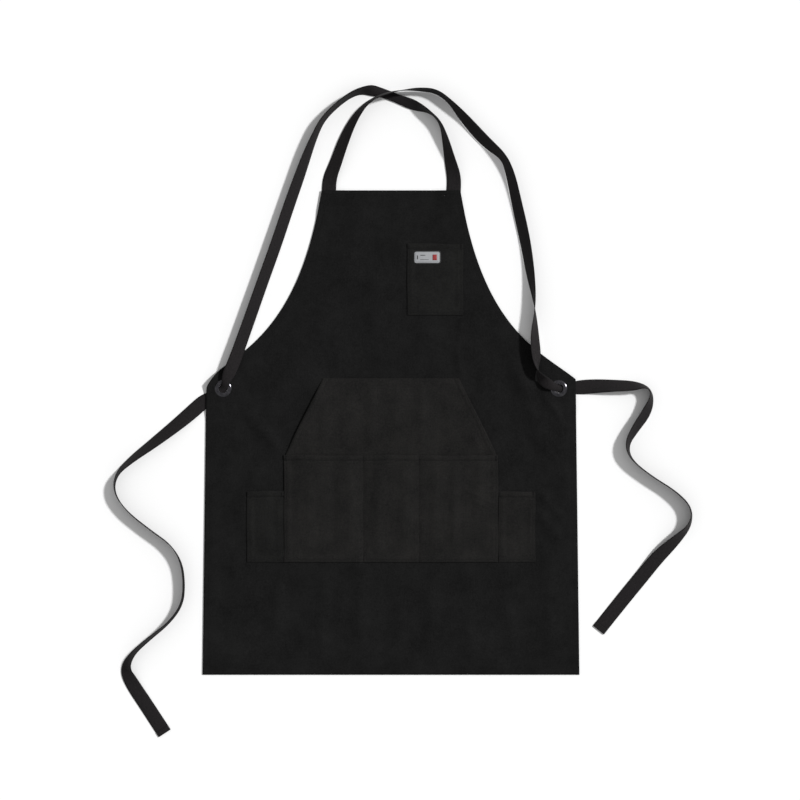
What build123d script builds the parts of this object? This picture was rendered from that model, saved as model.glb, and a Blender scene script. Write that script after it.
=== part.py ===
from build123d import *
import os
from math import cos, radians, sin, tan

# Canvas bib apron with cross-over straps, lying face up on a floor.
# X runs across the apron, +Y toward the neck, +Z up. The origin is on the floor below the middle
# of the cloth. Left and right are as seen from the front, with the bib at the top: left is -X.
# All sizes are in millimetres.

# ---- Driving sizes -------------------------------------------------------------------------
apron_height = 900.0
hem_width_across = 700.0  # overall width at the bottom edge
waist_width = 686.0  # overall width at the waist corners
bib_width = 258.0
armhole_depth = 351.0  # from the bib's top edge down to the waist corners
bib_curve_reach = 265.0  # how far the armhole curve runs on along its start at the bib
bib_curve_angle = 8.9  # degrees from straight down
waist_curve_reach = 80.5  # the same at the waist corner
waist_curve_angle = 39.0  # degrees below level
armhole_steps = 8

canvas = 0.8  # one layer of cloth
hem_fold = 12.0  # width of the hems and of the armhole facings
thread_height = 0.3
thread_width = 0.8
stitch_inset = 9.5  # from an edge to its hem's row of stitches
gap = 0.3  # between neighbouring pieces

strap_width = 26.0
strap_thickness = 1.5
strap_room = 0.9  # above a strap that runs below the cloth
strap_sewn_length = 30.0  # sewn to the back of the bib
strap_station = 11.0  # length of strap between two of its sections
stations_per_loft = 10

eyelet_bore = 17.0
eyelet_wall = 0.8
eyelet_flange = 31.0  # outer diameter
eyelet_flange_height = 1.2
eyelet_from_edge = 31.0  # from the eyelet's middle to the side edge at the waist
eyelet_below_waist = 17.0
washer_diameter = 29.0
washer_thickness = 0.6
patch_diameter = 32.0
strap_exit_drop = 22.0  # how far toward the hem a strap may run before it leaves the side edge

chest_pocket_width = 104.0
chest_pocket_height = 133.0
chest_pocket_middle = 82.0  # right of the centre line
chest_pocket_below_bib = 99.0
label_width = 51.0
label_height = 25.0
label_corner = 5.5
label_thickness = 0.6
label_from_left = 11.7  # from the chest pocket's left edge
label_below_mouth = 13.0

hand_pocket_top_width = 253.0
hand_pocket_waist_width = 394.0  # at the lower end of its slanted openings
hand_pocket_top = 101.0  # height above the middle of the cloth
front_pocket_width = 398.0
front_pocket_top = -42.0
front_pocket_height = 199.0
divider_from_middle = 52.0
tool_pocket_width = 69.0
tool_pocket_height = 132.0
pocket_puff = 5.2  # how far the pockets stand open
pocket_seam = 5.0  # sewn margin of the pockets
pocket_slope = 6.0  # length over which a pocket rises to its puff

# ---- Worked-out sizes ----------------------------------------------------------------------
half_height = apron_height / 2
waist_height = half_height - armhole_depth
back_gap = 2 * canvas  # the panel lies on its doubled hems
panel_top = back_gap + canvas
strap_lift = strap_thickness + strap_room  # how far a strap below the cloth lifts it
eyelet_x = waist_width / 2 - eyelet_from_edge
eyelet_y = waist_height - eyelet_below_waist
strap_x = bib_width / 2 - 14.0
front_pocket_bottom = front_pocket_top - front_pocket_height
layer_limit = 20.0  # taller than any cloth layer


# ---- Outlines ------------------------------------------------------------------------------
def armhole_line(inset):
    """Points and end directions of the right armhole's edge, or of a parallel line inside it."""
    bib_corner = Vector(bib_width / 2, half_height)
    waist_corner = Vector(waist_width / 2, waist_height)
    a, b = radians(bib_curve_angle), radians(waist_curve_angle)
    leave = bib_corner + Vector(sin(a), -cos(a)) * bib_curve_reach
    arrive = waist_corner - Vector(cos(b), -sin(b)) * waist_curve_reach
    points, directions = [], []
    for step in range(armhole_steps + 1):
        t = step / armhole_steps
        s = 1 - t
        place = (bib_corner * s**3 + leave * (3 * s * s * t)
                 + arrive * (3 * s * t * t) + waist_corner * t**3)
        along = (leave - bib_corner) * s * s + (arrive - leave) * (2 * s * t)
        along = (along + (waist_corner - arrive) * (t * t)).normalized()
        points.append(place + Vector(along.Y, -along.X) * inset)
        directions.append(along)
    return points, directions[0], directions[-1]


def apron_outline(inset=0.0):
    """The cut shape of the apron, or a parallel shape inside it."""
    points, first_way, last_way = armhole_line(inset)
    past = 40.0  # how far the armhole's cut runs on past its ends
    first, last = points[0] - first_way * past, points[-1] + last_way * past
    far = hem_width_across
    side_slope = (hem_width_across - waist_width) / 2 / (half_height + waist_height)
    high_side = waist_width / 2 - side_slope * armhole_depth - inset
    low_side = hem_width_across / 2 - inset
    with BuildSketch() as outline:
        Polygon((-low_side, inset - half_height), (low_side, inset - half_height),
                (high_side, half_height - inset), (-high_side, half_height - inset), align=None)
        for side in (1, -1):
            with BuildSketch(mode=Mode.PRIVATE) as armhole:
                with BuildLine():
                    Line(first, points[0])
                    Spline(*points, tangents=(first_way, last_way))
                    Line(points[-1], last)
                    Polyline(last, (far, last.Y), (far, first.Y), first)
                make_face()
                if side < 0:
                    mirror(about=Plane.YZ, mode=Mode.REPLACE)
            add(armhole.sketch, mode=Mode.SUBTRACT)
    return outline.sketch


def armhole_zone(side):
    """A rectangle round the armhole on one side, below the bib's top hem."""
    inner, outer = bib_width / 2 - 60, waist_width / 2 + 20
    with BuildSketch() as zone:
        with Locations((side * (inner + outer) / 2, (half_height - hem_fold + waist_height - 3) / 2)):
            Rectangle(outer - inner, armhole_depth - hem_fold + 3)
    return zone.sketch


def outline_band(start, width, sides, hems):
    """A band along the edge, starting inside it: along the armholes of the sides, or the hems."""
    with BuildSketch() as band:
        add(apron_outline(start))
        add(apron_outline(start + width), mode=Mode.SUBTRACT)
        if hems:
            for side in sides:
                add(armhole_zone(side), mode=Mode.SUBTRACT)
        else:
            add(armhole_zone(sides[0]), mode=Mode.INTERSECT)
    return band.sketch


def rectangle(left, bottom, right, top):
    """A rectangle between two corners."""
    with BuildSketch() as face:
        with Locations(((left + right) / 2, (bottom + top) / 2)):
            Rectangle(right - left, top - bottom)
    return face.sketch


def corners(left, bottom, right, top):
    """The four corners of a rectangle, anticlockwise."""
    return [(left, bottom), (right, bottom), (right, top), (left, top)]


def side_corners(side, near, low, far, high):
    """The same on the right side, or mirrored to the left side."""
    return corners(near, low, far, high) if side > 0 else corners(-far, low, -near, high)


# ---- Cloth layers --------------------------------------------------------------------------
def raise_bump(bump, height, mode):
    """A flat-topped rise in the cloth: its foot, its top and how far it rises."""
    foot, top, rise = bump
    with BuildSketch(Plane.XY.offset(height)) as low:
        Polygon(*foot, align=None)
    with BuildSketch(Plane.XY.offset(height + rise)) as high:
        Polygon(*top, align=None)
    loft(sections=[low.sketch, high.sketch], mode=mode)


def cloth_layer(outline, height, thickness, bumps):
    """Cloth of an even thickness, cut to an outline, that lies at a height and over its bumps."""
    with BuildPart() as layer:
        with BuildSketch(Plane.XY.offset(height)):
            add(outline)
        extrude(amount=thickness)
        for bump in bumps:
            raise_bump(bump, height + thickness, Mode.ADD)
        for bump in bumps:
            raise_bump(bump, height, Mode.SUBTRACT)
        with BuildSketch(Plane.XY.offset(height)):
            add(outline)
        extrude(amount=layer_limit, mode=Mode.INTERSECT)
    return layer.part


def strap_bumps():
    """The rises over the straps: at the bib's corners and from each eyelet out to the side."""
    ramp, reach, room = 24.0, 60.0, 3.0
    bumps = []
    for side in (-1, 1):
        near, far = strap_x - strap_width / 2 - room, strap_x + strap_width / 2 + room
        low, high = half_height - strap_sewn_length - 2, half_height + reach
        foot = side_corners(side, near - ramp, low - ramp, far + ramp, high)
        bumps.append((foot, side_corners(side, near, low, far, high), strap_lift))
        near, far = eyelet_x - patch_diameter / 2 - room, waist_width / 2 + reach
        low = eyelet_y - strap_width / 2 - strap_exit_drop
        high = eyelet_y + patch_diameter / 2 + room
        foot = side_corners(side, near - ramp, low - ramp, far, high + ramp)
        bumps.append((foot, side_corners(side, near, low, far, high), strap_lift))
    return bumps


def pocket_bump(left, bottom, right, top):
    """The puff of a pocket that is sewn at its sides and bottom and open at its top."""
    past = 30.0
    foot = corners(left + pocket_seam, bottom + pocket_seam, right - pocket_seam, top + past)
    inset = pocket_seam + pocket_slope
    crown = corners(left + inset, bottom + inset, right - inset, top + past)
    return (foot, crown, pocket_puff)


# ---- Body of the apron ---------------------------------------------------------------------
lifts = strap_bumps()
eyelet_hole = eyelet_bore + 2 * eyelet_wall + 2 * gap

with BuildPart() as front_panel:
    add(cloth_layer(apron_outline(), back_gap, canvas, lifts))
    add(cloth_layer(outline_band(0, hem_fold, (-1, 1), True), 0, back_gap, lifts))
    with BuildSketch():
        with Locations((-eyelet_x, eyelet_y), (eyelet_x, eyelet_y)):
            Circle(eyelet_hole / 2)
    extrude(amount=layer_limit, mode=Mode.SUBTRACT)

with BuildPart() as left_armhole_facing:
    add(cloth_layer(outline_band(0, hem_fold, (-1,), False), 0, back_gap, lifts))

with BuildPart() as right_armhole_facing:
    add(cloth_layer(outline_band(0, hem_fold, (1,), False), 0, back_gap, lifts))

with BuildPart() as hem_stitching:
    rows = outline_band(stitch_inset, thread_width, (-1, 1), True)
    add(cloth_layer(rows, panel_top, thread_height, lifts))

with BuildPart() as armhole_stitching:
    for side in (-1, 1):
        rows = outline_band(stitch_inset, thread_width, (side,), False)
        add(cloth_layer(rows, panel_top, thread_height, lifts))

# ---- Chest pocket and label ----------------------------------------------------------------
chest_left = chest_pocket_middle - chest_pocket_width / 2
chest_right = chest_pocket_middle + chest_pocket_width / 2
chest_top = half_height - chest_pocket_below_bib
chest_bottom = chest_top - chest_pocket_height
chest_edges = (chest_left, chest_bottom, chest_right, chest_top)
chest_bump = pocket_bump(*chest_edges)

with BuildPart() as chest_pocket:
    add(cloth_layer(rectangle(*chest_edges), panel_top, canvas, [chest_bump]))

label_x = chest_left + label_from_left + label_width / 2
label_y = chest_top - label_below_mouth - label_height / 2
label_base = panel_top + canvas + pocket_puff
with BuildPart() as woven_label:
    with BuildSketch(Plane.XY.offset(label_base)):
        with Locations((label_x, label_y)):
            RectangleRounded(label_width, label_height, label_corner)
    extrude(amount=label_thickness)

label_row_inset = 1.2
with BuildPart() as label_stitching:
    with BuildSketch(Plane.XY.offset(label_base + label_thickness)):
        with Locations((label_x, label_y)):
            RectangleRounded(label_width - 2 * label_row_inset, label_height - 2 * label_row_inset,
                             label_corner - label_row_inset)
            RectangleRounded(label_width - 2 * label_row_inset - 2 * thread_width,
                             label_height - 2 * label_row_inset - 2 * thread_width,
                             label_corner - label_row_inset - thread_width, mode=Mode.SUBTRACT)
    extrude(amount=thread_height)

# ---- Hand pocket ---------------------------------------------------------------------------
hand_outline_points = [
    (-hand_pocket_top_width / 2, hand_pocket_top),
    (-hand_pocket_waist_width / 2, front_pocket_top),
    (-hand_pocket_waist_width / 2, front_pocket_bottom),
    (hand_pocket_waist_width / 2, front_pocket_bottom),
    (hand_pocket_waist_width / 2, front_pocket_top),
    (hand_pocket_top_width / 2, hand_pocket_top),
]
hand_reach = hand_pocket_waist_width  # past both slanted openings
hand_low = front_pocket_top + gap + pocket_seam
hand_high = hand_pocket_top - pocket_seam
hand_bump = (
    corners(-hand_reach, hand_low, hand_reach, hand_high),
    corners(-hand_reach, hand_low + pocket_slope, hand_reach, hand_high - pocket_slope),
    pocket_puff,
)
with BuildSketch() as hand_outline:
    Polygon(*hand_outline_points, align=None)

with BuildPart() as hand_pocket:
    add(cloth_layer(hand_outline.sketch, panel_top, canvas, [hand_bump]))

# ---- Front pocket, with three compartments -------------------------------------------------
front_half = front_pocket_width / 2
front_height = panel_top + canvas  # it lies on the hand pocket
compartment_edges = [-front_half, -divider_from_middle, divider_from_middle, front_half]
front_bumps = [
    pocket_bump(left, front_pocket_bottom, right, front_pocket_top)
    for left, right in zip(compartment_edges, compartment_edges[1:])
]
front_edges = (-front_half, front_pocket_bottom, front_half, front_pocket_top)
with BuildPart() as front_pocket:
    add(cloth_layer(rectangle(*front_edges), front_height, canvas, front_bumps))

# ---- Tool pockets --------------------------------------------------------------------------
tool_inner = front_half + gap
tool_outer = tool_inner + tool_pocket_width
tool_top = front_pocket_bottom + tool_pocket_height
left_tool_edges = (-tool_outer, front_pocket_bottom, -tool_inner, tool_top)
right_tool_edges = (tool_inner, front_pocket_bottom, tool_outer, tool_top)
left_tool_bump = pocket_bump(*left_tool_edges)
right_tool_bump = pocket_bump(*right_tool_edges)

with BuildPart() as left_tool_pocket:
    add(cloth_layer(rectangle(*left_tool_edges), panel_top, canvas, [left_tool_bump]))

with BuildPart() as right_tool_pocket:
    add(cloth_layer(rectangle(*right_tool_edges), panel_top, canvas, [right_tool_bump]))


# ---- Pocket stitching ----------------------------------------------------------------------
def sewn_rows(left, bottom, right, top, mouth):
    """Two rows round a pocket's sides and bottom, and one row under its mouth's hem."""
    with BuildSketch() as rows:
        for inset in (1.2, pocket_seam - 2 * thread_width):
            outer = (left + inset, bottom + inset, right - inset, top - 1)
            inner_left, inner_right = outer[0] + thread_width, outer[2] - thread_width
            add(rectangle(outer[0], outer[1], inner_left, outer[3]))
            add(rectangle(inner_right, outer[1], outer[2], outer[3]))
            add(rectangle(outer[0], outer[1], outer[2], outer[1] + thread_width))
        add(rectangle(left + 1.2, top - mouth - thread_width, right - 1.2, top - mouth))
    return rows.sketch


with BuildPart() as chest_pocket_stitching:
    rows = sewn_rows(*chest_edges, 9.5)
    add(cloth_layer(rows, panel_top + canvas, thread_height, [chest_bump]))

with BuildPart() as front_pocket_stitching:
    rows = sewn_rows(*front_edges, 9.5)
    add(cloth_layer(rows, front_height + canvas, thread_height, front_bumps))
    for x in (-divider_from_middle, divider_from_middle):
        row = rectangle(x - thread_width / 2, front_pocket_bottom + pocket_seam,
                        x + thread_width / 2, front_pocket_top - 1)
        add(cloth_layer(row, front_height + canvas, thread_height, []))

with BuildPart() as tool_pocket_stitching:
    for edges, bump in ((left_tool_edges, left_tool_bump), (right_tool_edges, right_tool_bump)):
        add(cloth_layer(sewn_rows(*edges, 10.5), panel_top + canvas, thread_height, [bump]))

slant = Vector(hand_pocket_waist_width / 2, front_pocket_top) - Vector(
    hand_pocket_top_width / 2, hand_pocket_top
)
slant_across = Vector(slant.Y, -slant.X).normalized()  # points back into the pocket
with BuildPart() as hand_pocket_stitching:
    with BuildSketch() as rows:
        for inset in (1.2, 4.2):
            add(rectangle(-hand_pocket_top_width / 2 + 6, hand_pocket_top - inset - thread_width,
                          hand_pocket_top_width / 2 - 6, hand_pocket_top - inset))
        for inset in (1.5, 9.0):
            start = Vector(hand_pocket_top_width / 2, hand_pocket_top) + slant_across * inset
            near, far = start + slant * 0.06, start + slant * 0.97
            Polygon((near.X, near.Y), (far.X, far.Y),
                    (far.X + slant_across.X * thread_width, far.Y + slant_across.Y * thread_width),
                    (near.X + slant_across.X * thread_width, near.Y + slant_across.Y * thread_width),
                    align=None)
        mirror(about=Plane.YZ)
    add(cloth_layer(rows.sketch, panel_top + canvas, thread_height, [hand_bump]))

tack_length = 9.0
tack_width = 2.4
tack_inset = 3.2
with BuildPart() as bar_tacks:
    for left, bottom, right, top, height in (
        (*chest_edges, panel_top + canvas),
        (*left_tool_edges, panel_top + canvas),
        (*right_tool_edges, panel_top + canvas),
        (*front_edges, front_height + canvas),
    ):
        with BuildSketch(Plane.XY.offset(height + thread_height)):
            with Locations((left + tack_inset, top - tack_length / 2 - 0.5),
                           (right - tack_inset, top - tack_length / 2 - 0.5)):
                Rectangle(tack_width, tack_length)
        extrude(amount=thread_height)

# ---- Eyelets -------------------------------------------------------------------------------
lifted_top = panel_top + strap_lift
patch_base = back_gap + strap_lift - canvas
washer_base = patch_base - washer_thickness
rolled_end = washer_base - 0.2


def eyelet_profile():
    """Half section of the eyelet: a domed flange on the cloth and a barrel through it."""
    inner, outer, rim = eyelet_bore / 2, eyelet_bore / 2 + eyelet_wall, eyelet_flange / 2
    crown = lifted_top + eyelet_flange_height
    with BuildSketch(Plane.XZ) as profile:
        with BuildLine():
            Polyline((inner, rolled_end), (outer, rolled_end), (outer, lifted_top), (rim, lifted_top))
            ThreePointArc((rim, lifted_top), ((inner + rim) / 2, crown), (inner, crown - 0.35))
            Line((inner, crown - 0.35), (inner, rolled_end))
        make_face()
    return profile.sketch


def eyelet_at(x):
    """One eyelet, pressed into the cloth."""
    with BuildPart() as eyelet:
        add(eyelet_profile())
        revolve(axis=Axis.Z)
    return Pos(x, eyelet_y, 0) * eyelet.part


def ring_layer(x, outline, height, thickness):
    """A flat piece round the barrel, such as the washer or the patch."""
    with BuildPart() as layer:
        with BuildSketch(Plane.XY.offset(height)):
            with Locations((x, eyelet_y)):
                add(outline)
                Circle(eyelet_hole / 2, mode=Mode.SUBTRACT)
        extrude(amount=thickness)
    return layer.part


washer_outline = Circle(washer_diameter / 2)
patch_outline = Circle(patch_diameter / 2)

with BuildPart() as left_eyelet:
    add(eyelet_at(-eyelet_x))
with BuildPart() as right_eyelet:
    add(eyelet_at(eyelet_x))
with BuildPart() as left_eyelet_washer:
    add(ring_layer(-eyelet_x, washer_outline, washer_base, washer_thickness))
with BuildPart() as right_eyelet_washer:
    add(ring_layer(eyelet_x, washer_outline, washer_base, washer_thickness))
with BuildPart() as left_eyelet_patch:
    add(ring_layer(-eyelet_x, patch_outline, patch_base, canvas))
with BuildPart() as right_eyelet_patch:
    add(ring_layer(eyelet_x, patch_outline, patch_base, canvas))

# ---- Straps --------------------------------------------------------------------------------
# Each strap's route, chosen point by point: x, y and z of its middle line, how far its width is
# rolled up from level in degrees, and how far it is gathered, from 0, flat, to 1, in the eyelet.
left_strap_route = [
    (-115, 421, 0.8, 0, 0),
    (-116, 453, 0.8, 0, 0),
    (-113, 476, 4.0, 16, 0),
    (-103, 500, 8.0, 30, 0),
    (-88, 542, 10.0, 38, 0),
    (-68, 584, 13.0, 56, 0),
    (-42, 615, 17.5, 76, 0),
    (-10, 629, 19.6, 76, 0),
    (22, 635, 18.6, 84, 0),
    (52, 637, 15.0, 98, 0),
    (84, 634, 14.0, 102, 0),
    (110, 615, 13.5, 100, 0),
    (140, 578, 11.5, 132, 0),
    (178, 537, 11.0, 136, 0),
    (210, 512, 12.8, 110, 0),
    (222, 478, 12.0, 126, 0),
    (233, 428, 11.0, 134, 0),
    (247, 368, 10.8, 136, 0),
    (258, 300, 11.6, 126, 0),
    (268, 235, 14.2, 92, 0),
    (266, 180, 15.5, 50, 0),
    (269.5, 144, 16.5, 46, 0),
    (271, 122, 17.5, 72, 0.1),
    (274.5, 106, 17.5, 116, 0.15),
    (285, 93.5, 16.0, 150, 0.25),
    (296, 87.5, 13.5, 170, 0.7),
    (303, 84.5, 9.6, 180, 1),
    (314, 81.5, 1.1, 180, 1),
    (327, 81, 1.0, 180, 0.7),
    (348, 84, 0.8, 180, 0),
    (376, 86, 2.5, 190, 0),
    (412, 87, 9.0, 214, 0),
    (448, 87, 10.5, 224, 0),
    (477, 86, 13.2, 266, 0),
    (485, 68, 12.5, 254, 0),
    (475, 38, 10.0, 222, 0),
    (452, 6, 11.5, 232, 0),
    (437, -22, 12.8, 248, 0),
    (445, -50, 13.2, 264, 0),
    (482, -80, 13.3, 266, 0),
    (531, -110, 13.3, 266, 0),
    (559, -140, 13.3, 264, 0),
    (556, -172, 13.0, 254, 0),
    (528, -200, 9.5, 222, 0),
    (495, -232, 3.0, 190, 0),
    (466, -268, 0.9, 180, 0),
    (428, -314, 0.8, 180, 0),
    (386, -367, 0.8, 180, 0),
]
right_strap_route = [
    (115, 421, 0.8, 0, 0),
    (117, 453, 0.8, 0, 0),
    (117, 477, 4.0, 16, 0),
    (110, 505, 9.5, 42, 0),
    (101, 545, 12.8, 66, 0),
    (91, 577, 13.3, 86, 0),
    (70, 597, 13.3, 88, 0),
    (42, 608, 8.5, 40, 0.3),
    (16, 619, 3.0, 5, 0.8),
    (-9, 629, 3.0, 0, 0.8),
    (-28, 634.5, 3.6, 8, 0.6),
    (-47, 636, 11.8, 62, 0.1),
    (-70, 630, 13.0, 74, 0),
    (-98, 611, 13.3, 75, 0),
    (-127, 582, 13.3, 74, 0),
    (-142, 550, 12.8, 68, 0),
    (-155, 518, 11.4, 56, 0),
    (-170, 476, 10.4, 46, 0),
    (-188, 425, 10.2, 42, 0),
    (-210, 360, 11.2, 40, 0),
    (-234, 292, 11.2, 40, 0),
    (-256, 230, 11.8, 38, 0),
    (-275, 176, 12.6, 36, 0),
    (-288, 139, 14.0, 32, 0),
    (-298, 115, 14.5, 20, 0.15),
    (-305, 100, 12.5, 8, 0.6),
    (-307.5, 90, 9.6, 2, 1),
    (-312.5, 81, 1.0, 0, 1),
    (-323, 71.5, 1.0, 0, 0.7),
    (-347, 59, 0.8, 0, 0),
    (-368, 40, 1.6, -4, 0),
    (-398, 14, 6.6, -26, 0),
    (-440, -19, 10.4, -44, 0),
    (-480, -48, 12.2, -60, 0),
    (-510, -76, 13.2, -74, 0),
    (-515, -110, 13.2, -80, 0),
    (-492, -145, 13.3, -86, 0),
    (-448, -180, 13.3, -88, 0),
    (-408, -208, 13.3, -86, 0),
    (-389, -240, 13.2, -78, 0),
    (-384, -280, 13.2, -78, 0),
    (-387, -318, 13.2, -78, 0),
    (-410, -352, 13.2, -82, 0),
    (-450, -383, 13.2, -76, 0),
    (-480, -410, 13.0, -72, 0),
    (-494, -438, 10.0, -42, 0),
    (-482, -466, 2.4, -8, 0),
    (-455, -507, 0.8, 0, 0),
    (-421, -559, 0.8, 0, 0),
]

gathered_width = 10.6
gathered_thickness = 2.0
run_share = 0.45  # of the shorter run beside a bend, which its arc takes up


def bend_radii(points):
    """The radius of each bend: as large as its two runs allow."""
    radii = []
    for before, here, after in zip(points, points[1:], points[2:]):
        shorter = min((here - before).length, (after - here).length)
        half_turn = radians((here - before).get_angle(after - here)) / 2
        radii.append(run_share * shorter / tan(half_turn))
    return radii


def run_value(route, marks, where, column):
    """The roll or the gathering at a share of the route's length."""
    for index in range(1, len(marks)):
        if where <= marks[index] or index == len(marks) - 1:
            share = (where - marks[index - 1]) / (marks[index] - marks[index - 1])
            share = max(0.0, min(1.0, share))
            before, after = route[index - 1][column], route[index][column]
            return before + (after - before) * share


def strap_solid(name, route):
    """A flat strap along its route, as sections joined by ruled faces."""
    points = [Vector(*stop[:3]) for stop in route]
    radii = bend_radii(points)
    with BuildLine() as line:
        FilletPolyline(*points, radius=radii)
    path = line.wire()
    runs = [(b - a).length for a, b in zip(points, points[1:])]
    marks = [sum(runs[:index]) / sum(runs) for index in range(len(points))]
    lengths = round(path.length / (strap_station * stations_per_loft))
    stations = lengths * stations_per_loft
    with BuildPart() as strap:
        for first in range(0, stations, stations_per_loft):
            for station in range(first, first + stations_per_loft + 1):
                where = station / stations
                along = path.tangent_at(where)
                level = Vector(along.Y, -along.X, 0).normalized()
                roll = radians(run_value(route, marks, where, 3))
                across = level * cos(roll) + level.cross(along).normalized() * sin(roll)
                gather = run_value(route, marks, where, 4)
                width = strap_width + (gathered_width - strap_width) * gather
                thickness = strap_thickness + (gathered_thickness - strap_thickness) * gather
                place = path.position_at(where)
                lowest = (width * abs(sin(roll)) + thickness * abs(cos(roll))) / 2 + 0.02
                place = Vector(place.X, place.Y, max(place.Z, lowest))
                with BuildSketch(Plane(origin=place, x_dir=across, z_dir=along)):
                    Rectangle(width, thickness)
            loft(ruled=True)
    print(f"{name}: {path.length:.0f} mm long, bends of {min(radii):.0f} mm and more:",
          " ".join(f"{radius:.0f}" for radius in radii))
    print(f"{name}: volume {strap.part.volume:.0f}, flat section times length",
          f"{strap_width * strap_thickness * path.length:.0f}, lowest {strap.part.bounding_box().min.Z:.2f}")
    return strap.part


with BuildPart() as left_shoulder_strap:
    add(strap_solid("left_shoulder_strap", left_strap_route))
with BuildPart() as right_shoulder_strap:
    add(strap_solid("right_shoulder_strap", right_strap_route))


def strap_end_row(route):
    """The row of stitches across a strap's folded end, on its upper face."""
    fold = 10.0
    last, before = Vector(*route[-1][:2]), Vector(*route[-2][:2])
    back = (before - last).normalized()
    place = last + back * fold
    with BuildPart() as row:
        with BuildSketch(Plane(origin=(place.X, place.Y, route[-1][2] + strap_thickness / 2),
                               x_dir=(back.X, back.Y, 0), z_dir=(0, 0, 1))):
            Rectangle(thread_width, strap_width - 4)
        extrude(amount=thread_height)
    return row.part


with BuildPart() as left_strap_stitching:
    add(strap_end_row(left_strap_route))
with BuildPart() as right_strap_stitching:
    add(strap_end_row(right_strap_route))

# ---- Export --------------------------------------------------------------------------------
pieces = {
    "front_panel": front_panel,
    "left_armhole_facing": left_armhole_facing,
    "right_armhole_facing": right_armhole_facing,
    "chest_pocket": chest_pocket,
    "woven_label": woven_label,
    "hand_pocket": hand_pocket,
    "front_pocket": front_pocket,
    "left_tool_pocket": left_tool_pocket,
    "right_tool_pocket": right_tool_pocket,
    "left_eyelet": left_eyelet,
    "right_eyelet": right_eyelet,
    "left_eyelet_washer": left_eyelet_washer,
    "right_eyelet_washer": right_eyelet_washer,
    "left_eyelet_patch": left_eyelet_patch,
    "right_eyelet_patch": right_eyelet_patch,
    "left_shoulder_strap": left_shoulder_strap,
    "right_shoulder_strap": right_shoulder_strap,
    "hem_stitching": hem_stitching,
    "armhole_stitching": armhole_stitching,
    "chest_pocket_stitching": chest_pocket_stitching,
    "hand_pocket_stitching": hand_pocket_stitching,
    "front_pocket_stitching": front_pocket_stitching,
    "tool_pocket_stitching": tool_pocket_stitching,
    "label_stitching": label_stitching,
    "bar_tacks": bar_tacks,
    "left_strap_stitching": left_strap_stitching,
    "right_strap_stitching": right_strap_stitching,
}
os.makedirs("parts", exist_ok=True)
for name, piece in pieces.items():
    piece.part.label = name
    export_step(piece.part, f"parts/{name}.step")
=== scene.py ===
import logging
from collections.abc import Callable, Sequence
from dataclasses import dataclass, field
from enum import Enum
from math import cos, hypot, pi, radians, sin

import bpy
import numpy as np
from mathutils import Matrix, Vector


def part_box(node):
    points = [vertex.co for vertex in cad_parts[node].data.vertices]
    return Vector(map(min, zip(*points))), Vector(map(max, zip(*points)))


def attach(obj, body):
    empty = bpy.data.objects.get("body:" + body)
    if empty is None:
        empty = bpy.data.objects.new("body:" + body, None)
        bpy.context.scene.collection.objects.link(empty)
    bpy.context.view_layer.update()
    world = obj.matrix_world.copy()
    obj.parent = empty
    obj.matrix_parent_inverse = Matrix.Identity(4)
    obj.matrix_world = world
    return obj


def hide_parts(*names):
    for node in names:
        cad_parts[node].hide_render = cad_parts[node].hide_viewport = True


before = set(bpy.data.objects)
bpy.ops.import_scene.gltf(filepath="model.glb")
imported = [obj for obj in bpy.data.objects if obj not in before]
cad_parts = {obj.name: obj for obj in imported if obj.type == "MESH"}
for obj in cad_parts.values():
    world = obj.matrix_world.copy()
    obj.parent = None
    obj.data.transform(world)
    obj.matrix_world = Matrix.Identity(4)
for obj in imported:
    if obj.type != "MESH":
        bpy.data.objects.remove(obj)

# The looks of a black canvas bib apron that lies face up, with two webbing straps. Lengths are in
# millimetres until a mesh is made, and MM turns them to metres. Left is -X, as seen from the front.

MM = 0.001
LOG = logging.getLogger("apron")
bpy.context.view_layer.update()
Point = tuple[float, float, float]
Height = Callable[[np.ndarray, np.ndarray], np.ndarray]


# ---- Small tools ---------------------------------------------------------------------------
def linear(colour: str) -> tuple[float, float, float, float]:
    """Turns an sRGB hex colour to linear light.

    Args:
        colour: The colour, such as "#1c1c1c".

    Returns:
        Linear red, green and blue, with an alpha of 1.
    """
    parts = [int(colour[place:place + 2], 16) / 255 for place in (1, 3, 5)]
    red, green, blue = (p / 12.92 if p <= 0.04045 else ((p + 0.055) / 1.055) ** 2.4 for p in parts)
    return (red, green, blue, 1.0)


def smooth(value: np.ndarray | float, low: float, high: float) -> np.ndarray:
    """A soft step from 0 at low to 1 at high."""
    share = np.clip((np.asarray(value, float) - low) / (high - low), 0.0, 1.0)
    return share * share * (3 - 2 * share)


def bell(value: np.ndarray, width: float) -> np.ndarray:
    """A bell curve of height 1 and the given half width."""
    return np.exp(-((value / width) ** 2))


def node_box(name: str) -> tuple[np.ndarray, np.ndarray]:
    """The lowest and highest corner of a CAD node, in millimetres."""
    low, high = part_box(name)
    return np.array(low) / MM, np.array(high) / MM


def add_node(material: bpy.types.Material, kind: str, settings: dict | None = None,
             links: dict | None = None) -> bpy.types.Node:
    """Adds a shader node.

    Args:
        material: The material whose tree takes the node.
        kind: The node's type.
        settings: Attributes by name, or values by socket name or number.
        links: The output socket to link to each input, by the input's name or number.

    Returns:
        The new node.
    """
    node = material.node_tree.nodes.new(kind)
    for name, value in (settings or {}).items():
        if isinstance(name, int) or name in node.inputs:
            node.inputs[name].default_value = value
        else:
            setattr(node, name, value)
    for name, socket in (links or {}).items():
        material.node_tree.links.new(socket, node.inputs[name])
    return node


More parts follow.
